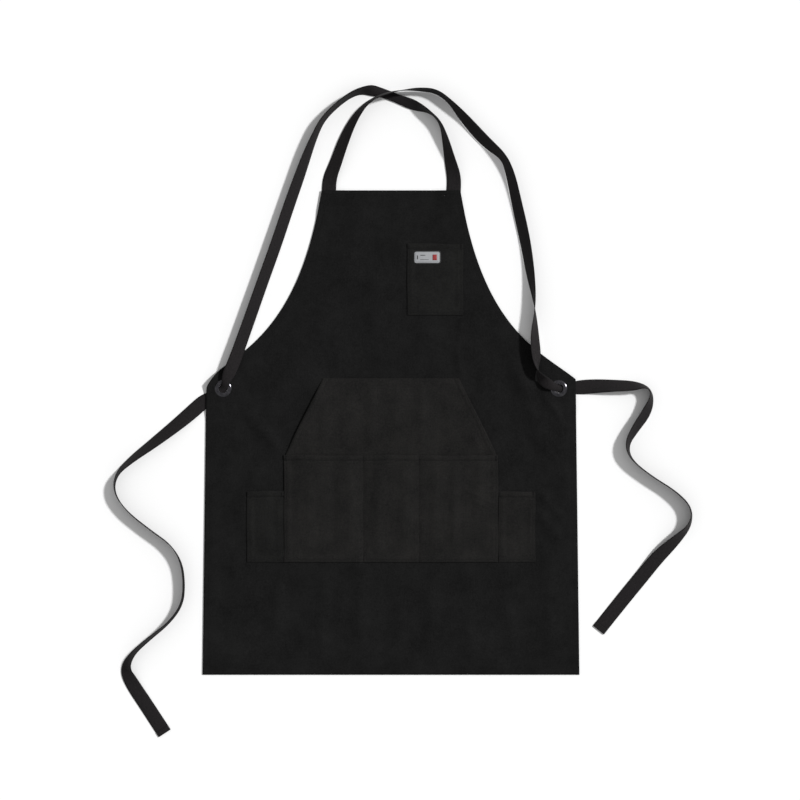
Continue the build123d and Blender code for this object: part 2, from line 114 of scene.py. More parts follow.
def make_piece(name: str, points: np.ndarray, faces: Sequence[Sequence[int]],
               finish: bpy.types.Material,
               sheet_map: np.ndarray | None = None) -> bpy.types.Object:
    """Makes a smooth mesh object that rides on the apron.

    Args:
        name: The piece's name.
        points: Its points, in millimetres.
        faces: Its faces, as numbers of points.
        finish: Its material.
        sheet_map: Where each point lies on the flat cloth or tape, in millimetres.

    Returns:
        The new object.
    """
    mesh = bpy.data.meshes.new(name)
    mesh.from_pydata((np.asarray(points) * MM).tolist(), [], [list(face) for face in faces])
    mesh.validate()
    mesh.update()
    mesh.shade_smooth()
    if sheet_map is not None:
        layer = mesh.uv_layers.new(name=Tape.MAP)
        corners = np.empty(len(mesh.loops), dtype=np.int32)
        mesh.loops.foreach_get("vertex_index", corners)
        layer.data.foreach_set("uv", sheet_map[corners].astype(np.float32).ravel())
    piece = bpy.data.objects.new(name, mesh)
    bpy.context.scene.collection.objects.link(piece)
    piece.data.materials.append(finish)
    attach(piece, "root")
    LOG.info("%s: %d points, %d faces", name, len(mesh.vertices), len(mesh.polygons))
    return piece


# ---- Finishes ------------------------------------------------------------------------------
def wave_scale(spacing: float) -> float:
    """The wave texture's scale for lines that are so many millimetres apart."""
    return 2 * pi / 20 / (spacing * MM)


@dataclass(frozen=True)
class Canvas:
    """Black cotton canvas, plain woven and piece dyed: dull, with slubs and faint lint.

    The eye sees no gloss, a soft grey bloom at a low angle, and threads that run across and
    along. The real thread spacing of 0.5 mm is too fine to show, so it is drawn at 1.3 mm.
    """

    name: str
    deep: str = "#0c0c0c"
    worn: str = "#1c1c1c"
    thread_spacing: float = 1.3
    slub_length: float = 14.0
    patch_size: float = 60.0
    lint_size: float = 2.6
    crumple_width: float = 24.0
    crumple_height: float = 1.5

    def material(self) -> bpy.types.Material:
        """Builds the cloth's material.

        Returns:
            The new material.
        """
        mat = bpy.data.materials.new(self.name)
        mat.use_nodes = True
        shader = mat.node_tree.nodes["Principled BSDF"]
        place = add_node(mat, "ShaderNodeTexCoord").outputs["Object"]
        warp = add_node(mat, "ShaderNodeTexWave",
                        {"bands_direction": "X", "Scale": wave_scale(self.thread_spacing),
                         "Distortion": 0.6, "Detail": 1.0, "Detail Scale": 2.0}, {"Vector": place})
        weft = add_node(mat, "ShaderNodeTexWave",
                        {"bands_direction": "Y", "Scale": wave_scale(self.thread_spacing),
                         "Distortion": 0.6, "Detail": 1.0, "Detail Scale": 2.0}, {"Vector": place})
        weave = add_node(mat, "ShaderNodeMath", {"operation": "MULTIPLY"},
                         {0: warp.outputs["Fac"], 1: weft.outputs["Fac"]})
        slubs = []
        for stretch in ((12.0, 1.0, 1.0), (1.0, 12.0, 1.0)):
            turned = add_node(mat, "ShaderNodeVectorMath", {"operation": "MULTIPLY", 1: stretch},
                              {0: place})
            slubs.append(add_node(mat, "ShaderNodeTexNoise",
                                  {"Scale": 1 / (self.slub_length * MM), "Detail": 3.0,
                                   "Roughness": 0.6}, {"Vector": turned.outputs[0]}))
        both = add_node(mat, "ShaderNodeMath", {"operation": "ADD"},
                        {0: slubs[0].outputs["Fac"], 1: slubs[1].outputs["Fac"]})
        patch = add_node(mat, "ShaderNodeTexNoise",
                         {"Scale": 1 / (self.patch_size * MM), "Detail": 5.0, "Roughness": 0.7},
                         {"Vector": place})
        lint = add_node(mat, "ShaderNodeTexNoise",
                        {"Scale": 1 / (self.lint_size * MM), "Detail": 2.0, "Roughness": 0.8},
                        {"Vector": place})
        mixed = add_node(mat, "ShaderNodeMath", {"operation": "MULTIPLY_ADD", 1: 0.35},
                         {0: both.outputs[0], 2: patch.outputs["Fac"]})
        mixed = add_node(mat, "ShaderNodeMath", {"operation": "MULTIPLY_ADD", 1: 1.1},
                         {0: lint.outputs["Fac"], 2: mixed.outputs[0]})
        ramp = add_node(mat, "ShaderNodeMapRange", {"From Min": 1.05, "From Max": 1.75},
                        {"Value": mixed.outputs[0]})
        colour = add_node(mat, "ShaderNodeMix", {"data_type": "RGBA", 6: linear(self.deep),
                                                 7: linear(self.worn)},
                          {0: ramp.outputs["Result"]})
        threads = add_node(mat, "ShaderNodeMath", {"operation": "MULTIPLY_ADD", 1: 0.35},
                           {0: both.outputs[0], 2: weave.outputs[0]})
        tall = add_node(mat, "ShaderNodeVectorMath", {"operation": "MULTIPLY", 1: (1.0, 0.3, 1.0)},
                        {0: place})
        crumples = add_node(mat, "ShaderNodeTexNoise",
                            {"Scale": 1 / (self.crumple_width * MM), "Detail": 3.0,
                             "Roughness": 0.45, "Distortion": 0.3}, {"Vector": tall.outputs[0]})
        soft = add_node(mat, "ShaderNodeBump", {"Strength": 1.0,
                                                "Distance": self.crumple_height * MM},
                        {"Height": crumples.outputs["Fac"]})
        bump = add_node(mat, "ShaderNodeBump", {"Strength": 0.4, "Distance": 0.25 * MM},
                        {"Height": threads.outputs[0], "Normal": soft.outputs["Normal"]})
        mat.node_tree.links.new(colour.outputs[2], shader.inputs["Base Color"])
        mat.node_tree.links.new(bump.outputs["Normal"], shader.inputs["Normal"])
        shader.inputs["Roughness"].default_value = 0.93
        shader.inputs["IOR"].default_value = 1.45
        shader.inputs["Specular IOR Level"].default_value = 0.1
        shader.inputs["Sheen Weight"].default_value = 0.02
        shader.inputs["Sheen Roughness"].default_value = 0.5
        return mat


@dataclass(frozen=True)
class Tape:
    """Black cotton webbing, woven flat in a herringbone: a little greyer than the canvas.

    The eye sees fine slanting ribs in two halves and firm edges. The real rib spacing of 0.8 mm
    is drawn at 1.6 mm, so that it shows.
    """

    MAP = "tape_map"
    name: str
    deep: str = "#0f0e0f"
    worn: str = "#282526"
    rib_spacing: float = 1.6

    def material(self) -> bpy.types.Material:
        """Builds the webbing's material, which lies along the tape's own flat map.

        Returns:
            The new material.
        """
        mat = bpy.data.materials.new(self.name)
        mat.use_nodes = True
        shader = mat.node_tree.nodes["Principled BSDF"]
        place = add_node(mat, "ShaderNodeUVMap", {"uv_map": self.MAP}).outputs["UV"]
        parts = add_node(mat, "ShaderNodeSeparateXYZ", links={"Vector": place})
        fold = add_node(mat, "ShaderNodeMath", {"operation": "PINGPONG", 1: 6.5},
                        {0: parts.outputs["Y"]})
        slant = add_node(mat, "ShaderNodeMath", {"operation": "ADD"},
                         {0: parts.outputs["X"], 1: fold.outputs[0]})
        ribs = add_node(mat, "ShaderNodeMath", {"operation": "MULTIPLY",
                                                1: 2 * pi / self.rib_spacing},
                        {0: slant.outputs[0]})
        ribs = add_node(mat, "ShaderNodeMath", {"operation": "SINE"}, {0: ribs.outputs[0]})
        fibres = add_node(mat, "ShaderNodeTexNoise", {"Scale": 0.3, "Detail": 5.0,
                                                      "Roughness": 0.85}, {"Vector": place})
        worn = add_node(mat, "ShaderNodeMath", {"operation": "MULTIPLY_ADD", 1: 0.12},
                        {0: ribs.outputs[0], 2: fibres.outputs["Fac"]})
        ramp = add_node(mat, "ShaderNodeMapRange", {"From Min": 0.3, "From Max": 0.75},
                        {"Value": worn.outputs[0]})
        colour = add_node(mat, "ShaderNodeMix", {"data_type": "RGBA", 6: linear(self.deep),
                                                 7: linear(self.worn)},
                          {0: ramp.outputs["Result"]})
        bump = add_node(mat, "ShaderNodeBump", {"Strength": 0.5, "Distance": 0.25 * MM},
                        {"Height": worn.outputs[0]})
        mat.node_tree.links.new(colour.outputs[2], shader.inputs["Base Color"])
        mat.node_tree.links.new(bump.outputs["Normal"], shader.inputs["Normal"])
        shader.inputs["Roughness"].default_value = 0.85
        shader.inputs["Specular IOR Level"].default_value = 0.15
        shader.inputs["Sheen Weight"].default_value = 0.03
        shader.inputs["Sheen Roughness"].default_value = 0.4
        return mat


@dataclass(frozen=True)
class Thread:
    """Polyester sewing thread, spun and dyed: a fine twist with a slight shine.

    The real twist of 0.5 mm is drawn at 0.9 mm, so that it shows close up.
    """

    name: str
    deep: str = "#080808"
    worn: str = "#151515"
    twist: float = 0.9

    def material(self) -> bpy.types.Material:
        """Builds the thread's material.

        Returns:
            The new material.
        """
        mat = bpy.data.materials.new(self.name)
        mat.use_nodes = True
        shader = mat.node_tree.nodes["Principled BSDF"]
        place = add_node(mat, "ShaderNodeTexCoord").outputs["Object"]
        plies = add_node(mat, "ShaderNodeTexWave",
                         {"bands_direction": "DIAGONAL", "Scale": wave_scale(self.twist)},
                         {"Vector": place})
        colour = add_node(mat, "ShaderNodeMix", {"data_type": "RGBA", 6: linear(self.deep),
                                                 7: linear(self.worn)},
                          {0: plies.outputs["Fac"]})
        bump = add_node(mat, "ShaderNodeBump", {"Strength": 0.4, "Distance": 0.1 * MM},
                        {"Height": plies.outputs["Fac"]})
        mat.node_tree.links.new(colour.outputs[2], shader.inputs["Base Color"])
        mat.node_tree.links.new(bump.outputs["Normal"], shader.inputs["Normal"])
        shader.inputs["Roughness"].default_value = 0.7
        shader.inputs["Specular IOR Level"].default_value = 0.2
        return mat


@dataclass(frozen=True)
class BlackNickel:
    """Brass pressings plated with black nickel: dark, glossy metal with bright highlights.

    The plate wears thin and lighter in faint patches where the strap rubs.
    """

    name: str
    deep: str = "#434246"
    worn: str = "#68676b"
    patch_size: float = 6.0

    def material(self) -> bpy.types.Material:
        """Builds the plate's material.

        Returns:
            The new material.
        """
        mat = bpy.data.materials.new(self.name)
        mat.use_nodes = True
        shader = mat.node_tree.nodes["Principled BSDF"]
        place = add_node(mat, "ShaderNodeTexCoord").outputs["Object"]
        rub = add_node(mat, "ShaderNodeTexNoise",
                       {"Scale": 1 / (self.patch_size * MM), "Detail": 6.0, "Roughness": 0.7},
                       {"Vector": place})
        ramp = add_node(mat, "ShaderNodeMapRange", {"From Min": 0.4, "From Max": 0.75},
                        {"Value": rub.outputs["Fac"]})
        colour = add_node(mat, "ShaderNodeMix", {"data_type": "RGBA", 6: linear(self.deep),
                                                 7: linear(self.worn)},
                          {0: ramp.outputs["Result"]})
        rough = add_node(mat, "ShaderNodeMapRange", {"To Min": 0.12, "To Max": 0.26},
                         {"Value": rub.outputs["Fac"]})
        bump = add_node(mat, "ShaderNodeBump", {"Strength": 0.08, "Distance": 0.1 * MM},
                        {"Height": rub.outputs["Fac"]})
        mat.node_tree.links.new(colour.outputs[2], shader.inputs["Base Color"])
        mat.node_tree.links.new(rough.outputs["Result"], shader.inputs["Roughness"])
        mat.node_tree.links.new(bump.outputs["Normal"], shader.inputs["Normal"])
        shader.inputs["Metallic"].default_value = 1.0
        return mat


@dataclass(frozen=True)
class Damask:
    """Polyester damask, woven on a ribbon loom for labels: smooth, with a fine satin shine.

    Its ribs lie across. The real spacing of 0.25 mm is drawn at 0.6 mm, so that it shows.
    """

    name: str
    colour: str
    rib_spacing: float = 0.6

    def material(self) -> bpy.types.Material:
        """Builds one colour of the label's material.

        Returns:
            The new material.
        """
        mat = bpy.data.materials.new(self.name)
        mat.use_nodes = True
        shader = mat.node_tree.nodes["Principled BSDF"]
        place = add_node(mat, "ShaderNodeTexCoord").outputs["Object"]
        ribs = add_node(mat, "ShaderNodeTexWave",
                        {"bands_direction": "Y", "Scale": wave_scale(self.rib_spacing),
                         "Distortion": 0.4, "Detail": 1.0}, {"Vector": place})
        base = linear(self.colour)
        dark = (base[0] * 0.6, base[1] * 0.6, base[2] * 0.6, 1.0)
        colour = add_node(mat, "ShaderNodeMix", {"data_type": "RGBA", 6: dark, 7: base},
                          {0: ribs.outputs["Fac"]})
        bump = add_node(mat, "ShaderNodeBump", {"Strength": 0.4, "Distance": 0.1 * MM},
                        {"Height": ribs.outputs["Fac"]})
        mat.node_tree.links.new(colour.outputs[2], shader.inputs["Base Color"])
        mat.node_tree.links.new(bump.outputs["Normal"], shader.inputs["Normal"])
        shader.inputs["Roughness"].default_value = 0.5
        shader.inputs["Sheen Weight"].default_value = 0.15
        return mat


# ---- The apron's cloth ---------------------------------------------------------------------
@dataclass
class Crease:
    """A soft ridge, or a valley where its height is below 0, between two places on the cloth."""

    start: tuple[float, float]
    end: tuple[float, float]
    width: float
    height: float

    def at(self, x: np.ndarray, y: np.ndarray) -> np.ndarray:
        """The crease's height at places on the cloth.

        Args:
            x: Where the places are, across.
            y: Where they are, up the apron.

        Returns:
            The height at each place.
        """
        run = np.array(self.end) - np.array(self.start)
        length = hypot(*run)
        along = ((x - self.start[0]) * run[0] + (y - self.start[1]) * run[1]) / length
        across = ((x - self.start[0]) * run[1] - (y - self.start[1]) * run[0]) / length
        fade = smooth(along, -0.12 * length, 0.25 * length)
        fade = fade * (1 - smooth(along, 0.7 * length, 1.12 * length))
        return self.height * bell(across, self.width) * fade


@dataclass
class ApronCloth:
    """The cut cloth with its folded hems, and the height at which it lies."""

    finish: bpy.types.Material
    thickness: float = 0.8
    hem_width: float = 12.0
    hem_height: float = 1.6
    rest: float = 0.35
    row: float = 5.0
    columns: int = 141
    lift: float = 2.4
    armhole_depth: float = 351.0
    bib_half: float = 129.0
    curl_way: tuple[float, float] = (0.82, -0.57)
    curl_length: float = 17.0
    curl_radius: float = 9.0
    bib_curve: tuple[float, float] = (265.0, 8.9)
    waist_curve: tuple[float, float] = (80.5, 39.0)
    creases: list[Crease] = field(default_factory=lambda: [
        Crease((133, 214), (124, 160), 6, 2.6),
        Crease((124, 165), (127, 100), 6, 2.6),
        Crease((60, 215), (88, 120), 14, 1.8),
        Crease((-60, 390), (-88, 250), 18, 2.4),
        Crease((20, 430), (14, 240), 16, 2.2),
        Crease((-20, 330), (-34, 130), 18, 2.4),
        Crease((-100, 330), (-150, 140), 16, 2.6),
        Crease((-150, 180), (-215, 60), 16, 2.4),
        Crease((195, 190), (262, 60), 14, 3.0),
        Crease((225, 150), (292, -60), 16, 3.2),
        Crease((-278, 48), (-204, -34), 11, 4.2),
        Crease((286, 70), (329, 4), 6, 3.4),
        Crease((318, 20), (326, -120), 8, 2.2),
        Crease((272, -106), (332, -176), 7, 3.2),
        Crease((275, -150), (325, -215), 9, 2.4),
        Crease((-240, -60), (-300, -170), 16, 3.0),
        Crease((-300, -150), (-285, -330), 18, 3.0),
        Crease((-205, -262), (-222, -420), 15, 3.2),
        Crease((-122, -256), (-130, -430), 14, 3.6),
        Crease((-52, -254), (-60, -425), 13, 3.0),
        Crease((14, -256), (8, -440), 15, 3.2),
        Crease((78, -256), (72, -420), 13, 3.4),
        Crease((142, -254), (152, -430), 14, 3.2),
        Crease((212, -254), (226, -420), 14, 3.4),
        Crease((292, -240), (300, -420), 14, 3.0),
    ])

    def __post_init__(self) -> None:
        """Works the outline out from the CAD box."""
        low, high = node_box("front_panel")
        self.half_height = float(high[1])
        self.hem_half = float(high[0])
        facing_low, facing_high = node_box("right_armhole_facing")
        self.waist_half = float(facing_high[0])
        self.waist_y = self.half_height - self.armhole_depth
        self.eyelet = (node_box("right_eyelet")[0] + node_box("right_eyelet")[1])[:2] / 2
        share = np.linspace(0, 1, 400)
        a, b = radians(self.bib_curve[1]), radians(self.waist_curve[1])
        start = np.array((self.bib_half, self.half_height))
        end = np.array((self.waist_half, self.waist_y))
        leave = start + np.array((sin(a), -cos(a))) * self.bib_curve[0]
        arrive = end - np.array((cos(b), -sin(b))) * self.waist_curve[0]
        t = share[:, None]
        curve = (1 - t) ** 3 * start + 3 * (1 - t) ** 2 * t * leave
        curve = curve + 3 * (1 - t) * t * t * arrive + t**3 * end
        self.curve_y, self.curve_x = curve[::-1, 1], curve[::-1, 0]

    def half_width(self, y: np.ndarray) -> np.ndarray:
        """Half of the cloth's width at a height up the apron."""
        side = np.interp(y, [-self.half_height, self.waist_y], [self.hem_half, self.waist_half])
        return np.where(y > self.waist_y, np.interp(y, self.curve_y, self.curve_x), side)

    def from_edge(self, x: np.ndarray, y: np.ndarray) -> np.ndarray:
        """How far a place is from the cloth's nearest edge.

        Args:
            x: Where the places are, across.
            y: Where they are, up the apron.

        Returns:
            The distance at each place.
        """
        slope = (self.half_width(y + 1) - self.half_width(y - 1)) / 2
        side = (self.half_width(y) - np.abs(x)) / np.sqrt(1 + slope * slope)
        return np.minimum(side, np.minimum(self.half_height - y, y + self.half_height))

    def strap_lift(self, x: np.ndarray, y: np.ndarray) -> np.ndarray:
        """How far the straps lift the cloth: at the bib's corners and beyond each eyelet.

        Args:
            x: Where the places are, across.
            y: Where they are, up the apron.

        Returns:
            The lift at each place.
        """
        bib = smooth(np.abs(x), 78, 99) * smooth(y, self.half_height - 56, self.half_height - 32)
        near = self.eyelet[0] - 18
        waist = smooth(np.abs(x), near - 24, near) * smooth(y, self.eyelet[1] - 60, self.eyelet[1] - 34)
        waist = waist * (1 - smooth(y, self.eyelet[1] + 18, self.eyelet[1] + 44))
        return self.lift * np.maximum(bib, waist)

    def round_eyelet(self, x: np.ndarray, y: np.ndarray) -> np.ndarray:
        """1 under the eyelets, where the cloth is pressed flat, and 0 away from them."""
        return 1 - smooth(np.hypot(np.abs(x) - self.eyelet[0], y - self.eyelet[1]), 16.5, 34)

    def bottom(self, x: np.ndarray, y: np.ndarray) -> np.ndarray:
        """The height of the cloth's underside.

        Args:
            x: Where the places are, across.
            y: Where they are, up the apron.

        Returns:
            The height at each place.
        """
        x, y = np.asarray(x, float), np.asarray(y, float)
        edge = self.from_edge(x, y)
        hem_share = 1 - smooth(edge, self.hem_width, self.hem_width + 20)
        hem = self.rest + (self.hem_height - self.rest) * hem_share
        waves = 0.9 + 0.55 * np.sin(x / 41 + 1.3 * np.sin(y / 170)) + 0.4 * np.sin(x / 23 + y / 88 + 0.7)
        waves = waves + 0.35 * np.sin(y / 37 + 1.6 * np.sin(x / 120) + 2.1)
        for crease in self.creases:
            waves = waves + crease.at(x, y)
        away = smooth(edge, 3, 40) * (1 - self.round_eyelet(x, y))
        level = hem + np.maximum(waves, 0) * away + self.strap_lift(x, y)
        row = -0.28 * bell(edge - self.hem_width + 2.5, 1.6)
        pressed = self.hem_height + self.lift
        share = self.round_eyelet(x, y)
        return np.maximum(level * (1 - share) + pressed * share + row, 0.15)

    def top(self, x: np.ndarray, y: np.ndarray) -> np.ndarray:
        """The height of the cloth's face."""
        return self.bottom(x, y) + self.thickness

    def curl(self, points: np.ndarray) -> np.ndarray:
        """Rolls the left waist corner up and in about a slanting line, as worn cloth does.

        Args:
            points: The points of a piece of cloth, in millimetres.

        Returns:
            The points with that corner rolled.
        """
        corner = np.array((-self.waist_half, self.waist_y))
        inward = np.array(self.curl_way) / hypot(*self.curl_way)
        past = self.curl_length - (points[:, :2] - corner) @ inward
        near = np.hypot(*(points[:, :2] - corner).T) < 3 * self.curl_length
        past = np.where((past > 0) & near, past, 0)
        turn = past / self.curl_radius
        points = points.copy()
        points[:, :2] += ((past - self.curl_radius * np.sin(turn))[:, None]) * inward
        points[:, 2] += self.curl_radius * (1 - np.cos(turn))
        return points

    def build(self) -> bpy.types.Object:
        """Builds the cloth between its edges.

        Returns:
            The new piece.
        """
        rows = np.arange(-self.half_height, self.half_height + 0.1, self.row)
        rows = np.unique(np.append(rows, [self.waist_y, self.waist_y + 1.5]))
        share = np.linspace(-1, 1, self.columns)
        share = np.sign(share) * (1 - (1 - np.abs(share)) ** 1.15)
        y = np.repeat(rows[:, None], self.columns, axis=1)
        x = self.half_width(rows)[:, None] * share[None, :]
        points, faces = closed_sheet(x, y, self.bottom(x, y), self.top(x, y))
        hole = EyeletSet.hole_radius(self)
        points, faces = cut_round_holes(points, faces, self.eyelet, hole)
        piece = make_piece("front_cloth", self.curl(points), faces, self.finish)
        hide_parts("front_panel")
        return piece

    def edge_line(self, part: "EdgePart") -> tuple[np.ndarray, np.ndarray]:
        """Points along a part of the edge, and the direction in from each of them.

        Args:
            part: The part of the edge.

        Returns:
            The points and the directions.
        """
        if part is EdgePart.BIB:
            x = np.linspace(self.bib_half, -self.bib_half, 53)
            return np.stack([x, np.full(53, self.half_height)], 1), np.tile((0.0, -1.0), (53, 1))
        if part is EdgePart.SIDES_AND_BOTTOM:
            down = np.linspace(self.waist_y - 1, -self.half_height, 110)
            left = np.stack([-self.half_width(down), down], 1)
            across = np.linspace(-self.hem_half, self.hem_half, 141)[1:-1]
            bottom = np.stack([across, np.full(139, -self.half_height)], 1)
            right = left[::-1] * (-1, 1)
            line = np.concatenate([left, bottom, right])
            inward = np.concatenate([np.tile((1.0, 0.0), (109, 1)), [(1.0, 1.0)],
                                     np.tile((0.0, 1.0), (139, 1)), [(-1.0, 1.0)],
                                     np.tile((-1.0, 0.0), (109, 1))])
            return line, inward
        side = 1.0 if part is EdgePart.RIGHT_ARMHOLE else -1.0
        y = np.linspace(self.half_height - self.hem_width, self.waist_y, 90)
        line = np.stack([self.half_width(y) * side, y], 1)
        along = np.gradient(line, axis=0)
        along = along / np.linalg.norm(along, axis=1)[:, None]
        return line, np.stack([along[:, 1], -along[:, 0]], 1) * side

    def build_fold(self, part: "EdgePart", name: str, node: str, finish: bpy.types.Material) -> bpy.types.Object:
        """Builds a folded hem or a facing at the back of the edge.

        Args:
            part: The part of the edge that it follows.
            name: The piece's name.
            node: The CAD node that it stands for.
            finish: Its material.

        Returns:
            The new piece.
        """
        line, inward = self.edge_line(part)
        width, height = self.hem_width, self.hem_height
        profile = np.array([(0.5, 0.1), (-0.25, 0.5), (-0.35, 1.1), (-0.1, height + 0.5),
                            (0.5, height + 0.45), (1.5, height - 0.05), (width - 0.6, height - 0.05),
                            (width, height - 0.45), (width - 0.1, 0.5), (width - 0.7, 0.1)])
        wander = 0.25 * np.sin(np.arange(len(line)) * 0.7) + 0.2 * np.sin(np.arange(len(line)) * 0.31)
        points = []
        for index, (place, way) in enumerate(zip(line, inward)):
            base = float(self.strap_lift(*place))
            for inset, height_here in profile:
                reach = inset + (wander[index] if inset > width / 2 else 0.0)
                spot = place + way * reach
                points.append((spot[0], spot[1], height_here + base))
        faces = tube_faces(len(line), len(profile))
        piece = make_piece(name, self.curl(np.array(points)), faces, finish)
        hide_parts(node)
        return piece


class EdgePart(Enum):
    """The stretches of the apron's edge that are folded or faced on their own."""

    BIB = "bib"
    SIDES_AND_BOTTOM = "sides_and_bottom"
    LEFT_ARMHOLE = "left_armhole"
    RIGHT_ARMHOLE = "right_armhole"


# ---- Mesh forms ----------------------------------------------------------------------------
def closed_sheet(x: np.ndarray, y: np.ndarray, low: np.ndarray,
                 high: np.ndarray) -> tuple[np.ndarray, list[tuple[int, ...]]]:
    """Closes two grids, one above the other, to a sheet with a thickness.

    Args:
        x: Where the grid's points are, across.
        y: Where they are, up the apron.
        low: The height of the underside.
        high: The height of the face.

    Returns:
        The points and the faces.
    """
    rows, columns = x.shape
    points = np.concatenate([np.stack([x, y, low], -1).reshape(-1, 3),
                             np.stack([x, y, high], -1).reshape(-1, 3)])
    count = rows * columns
    faces: list[tuple[int, ...]] = []
    for j in range(rows - 1):
        for i in range(columns - 1):
            a, b = j * columns + i, j * columns + i + 1
            c, d = b + columns, a + columns
            faces.append((d, c, b, a))
            faces.append((a + count, b + count, c + count, d + count))
    ring = [i for i in range(columns)]
    ring += [j * columns + columns - 1 for j in range(1, rows)]
    ring += [(rows - 1) * columns + i for i in range(columns - 2, -1, -1)]
    ring += [j * columns for j in range(rows - 2, 0, -1)]
    for a, b in zip(ring, ring[1:] + ring[:1]):
        faces.append((a, b, b + count, a + count))
    return points, faces


def cut_round_holes(points: np.ndarray, faces: list[tuple[int, ...]], middle: np.ndarray,
                    radius: float) -> tuple[np.ndarray, list[tuple[int, ...]]]:
    """Opens a round hole at a place and at its mirror place.

    The points nearest each hole's rim move onto it, and the faces inside it go. The rim is
    closed by a wall between the two sides of the sheet.

    Args:
        points: The sheet's points, its underside first.
        faces: Its faces.
        middle: The right hole's middle.
        radius: The holes' radius.

    Returns:
        The new points and faces.
    """
    count = len(points) // 2
    points = points.copy()
    gone = np.zeros(len(points), bool)
    for side in (-1, 1):
        centre = np.array((side * middle[0], middle[1]))
        away = points[:, :2] - centre
        distance = np.hypot(away[:, 0], away[:, 1])
        gone |= distance < radius * 0.72
        rim = (distance >= radius * 0.72) & (distance < radius * 1.28)
        points[rim, :2] = centre + away[rim] / distance[rim][:, None] * radius
    kept = [face for face in faces if not any(gone[list(face)])]
    edges: dict[tuple[int, int], int] = {}
    for face in kept:
        for a, b in zip(face, face[1:] + face[:1]):
            edges[(a, b)] = edges.get((a, b), 0) + 1
    walls = []
    for a, b in list(edges):
        if (b, a) not in edges and a < count and b < count and a + count != b:
            walls.append((b, a, a + count, b + count))
    used = np.unique([p for face in kept + walls for p in face])
    number = np.full(len(points), -1)
    number[used] = np.arange(len(used))
    return points[used], [tuple(int(number[p]) for p in face) for face in kept + walls]


def tube_faces(sections: int, sides: int) -> list[tuple[int, ...]]:
    """The faces of a closed tube.

    Args:
        sections: How many sections it has along its length.
        sides: How many points each section has.

    Returns:
        The faces, as numbers of points.
    """
    faces: list[tuple[int, ...]] = [tuple(range(sides))]
    for k in range(sections - 1):
        for i in range(sides):
            a, b = k * sides + i, k * sides + (i + 1) % sides
            faces.append((a, a + sides, b + sides, b))
    faces.append(tuple((sections - 1) * sides + i for i in range(sides - 1, -1, -1)))
    return faces


def stitch_points(start: np.ndarray, end: np.ndarray, radius: float,
                  sink: float) -> tuple[list[np.ndarray], list[tuple[int, ...]]]:
    """One stitch: a short thread that rises out of the cloth and goes back into it.

    Args:
        start: Where the thread comes out.
        end: Where it goes in.
        radius: The thread's radius.
        sink: How deep its ends go.

    Returns:
        The points and the faces.
    """
    along = (end - start) / np.linalg.norm(end - start)
    side = np.cross((0.0, 0.0, 1.0), along)
    side = side / np.linalg.norm(side)
    up = np.cross(along, side)
    points = []
    sides = 5
    stations = ((0.0, 0.35, -sink), (0.22, 1.0, 0.1), (0.78, 1.0, 0.1), (1.0, 0.35, -sink))
    for share, swell, rise in stations:
        middle = start + (end - start) * share + up * (rise + radius * 0.3)
        for i in range(sides):
            turn = 2 * pi * i / sides
            points.append(middle + (side * cos(turn) + up * sin(turn)) * radius * swell)
    return points, tube_faces(4, sides)


@dataclass
class Seam:
    """Rows of stitches of one set of seams."""

    name: str
    node: str
    finish: bpy.types.Material
    pitch: float = 3.4
    share: float = 0.78
    radius: float = 0.34
    sink: float = 0.3
    points: list[np.ndarray] = field(default_factory=list)
    faces: list[tuple[int, ...]] = field(default_factory=list)

    def add(self, start: np.ndarray, end: np.ndarray) -> None:
        """Adds one stitch.

        Args:
            start: Where its thread comes out of the cloth.
            end: Where it goes in again.
        """
        points, faces = stitch_points(start, end, self.radius, self.sink)
        first = len(self.points)
        self.points += points
        self.faces += [tuple(first + p for p in face) for face in faces]

    def row(self, line: Sequence[tuple[float, float]], height: Height) -> None:
        """Adds a row of stitches along a line on a cloth.

        Args:
            line: The line's corners, or its points where it is curved.
            height: The height of the cloth's face.
        """
        corners = np.array(line, float)
        lengths = np.hypot(*np.diff(corners, axis=0).T)
        marks = np.concatenate([[0], np.cumsum(lengths)])
        count = max(1, int(marks[-1] / self.pitch))
        pitch = marks[-1] / count
        for index in range(count):
            ends = []
            for where in (index * pitch, (index + self.share) * pitch):
                x = np.interp(where, marks, corners[:, 0])
                y = np.interp(where, marks, corners[:, 1])
                ends.append(np.array((x, y, float(height(np.array(x), np.array(y))))))
            self.add(*ends)

    def build(self) -> bpy.types.Object:
        """Builds the seam's stitches as one piece.

        Returns:
            The new piece.
        """
        piece = make_piece(self.name, np.array(self.points), self.faces, self.finish)
        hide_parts(self.node)
        return piece


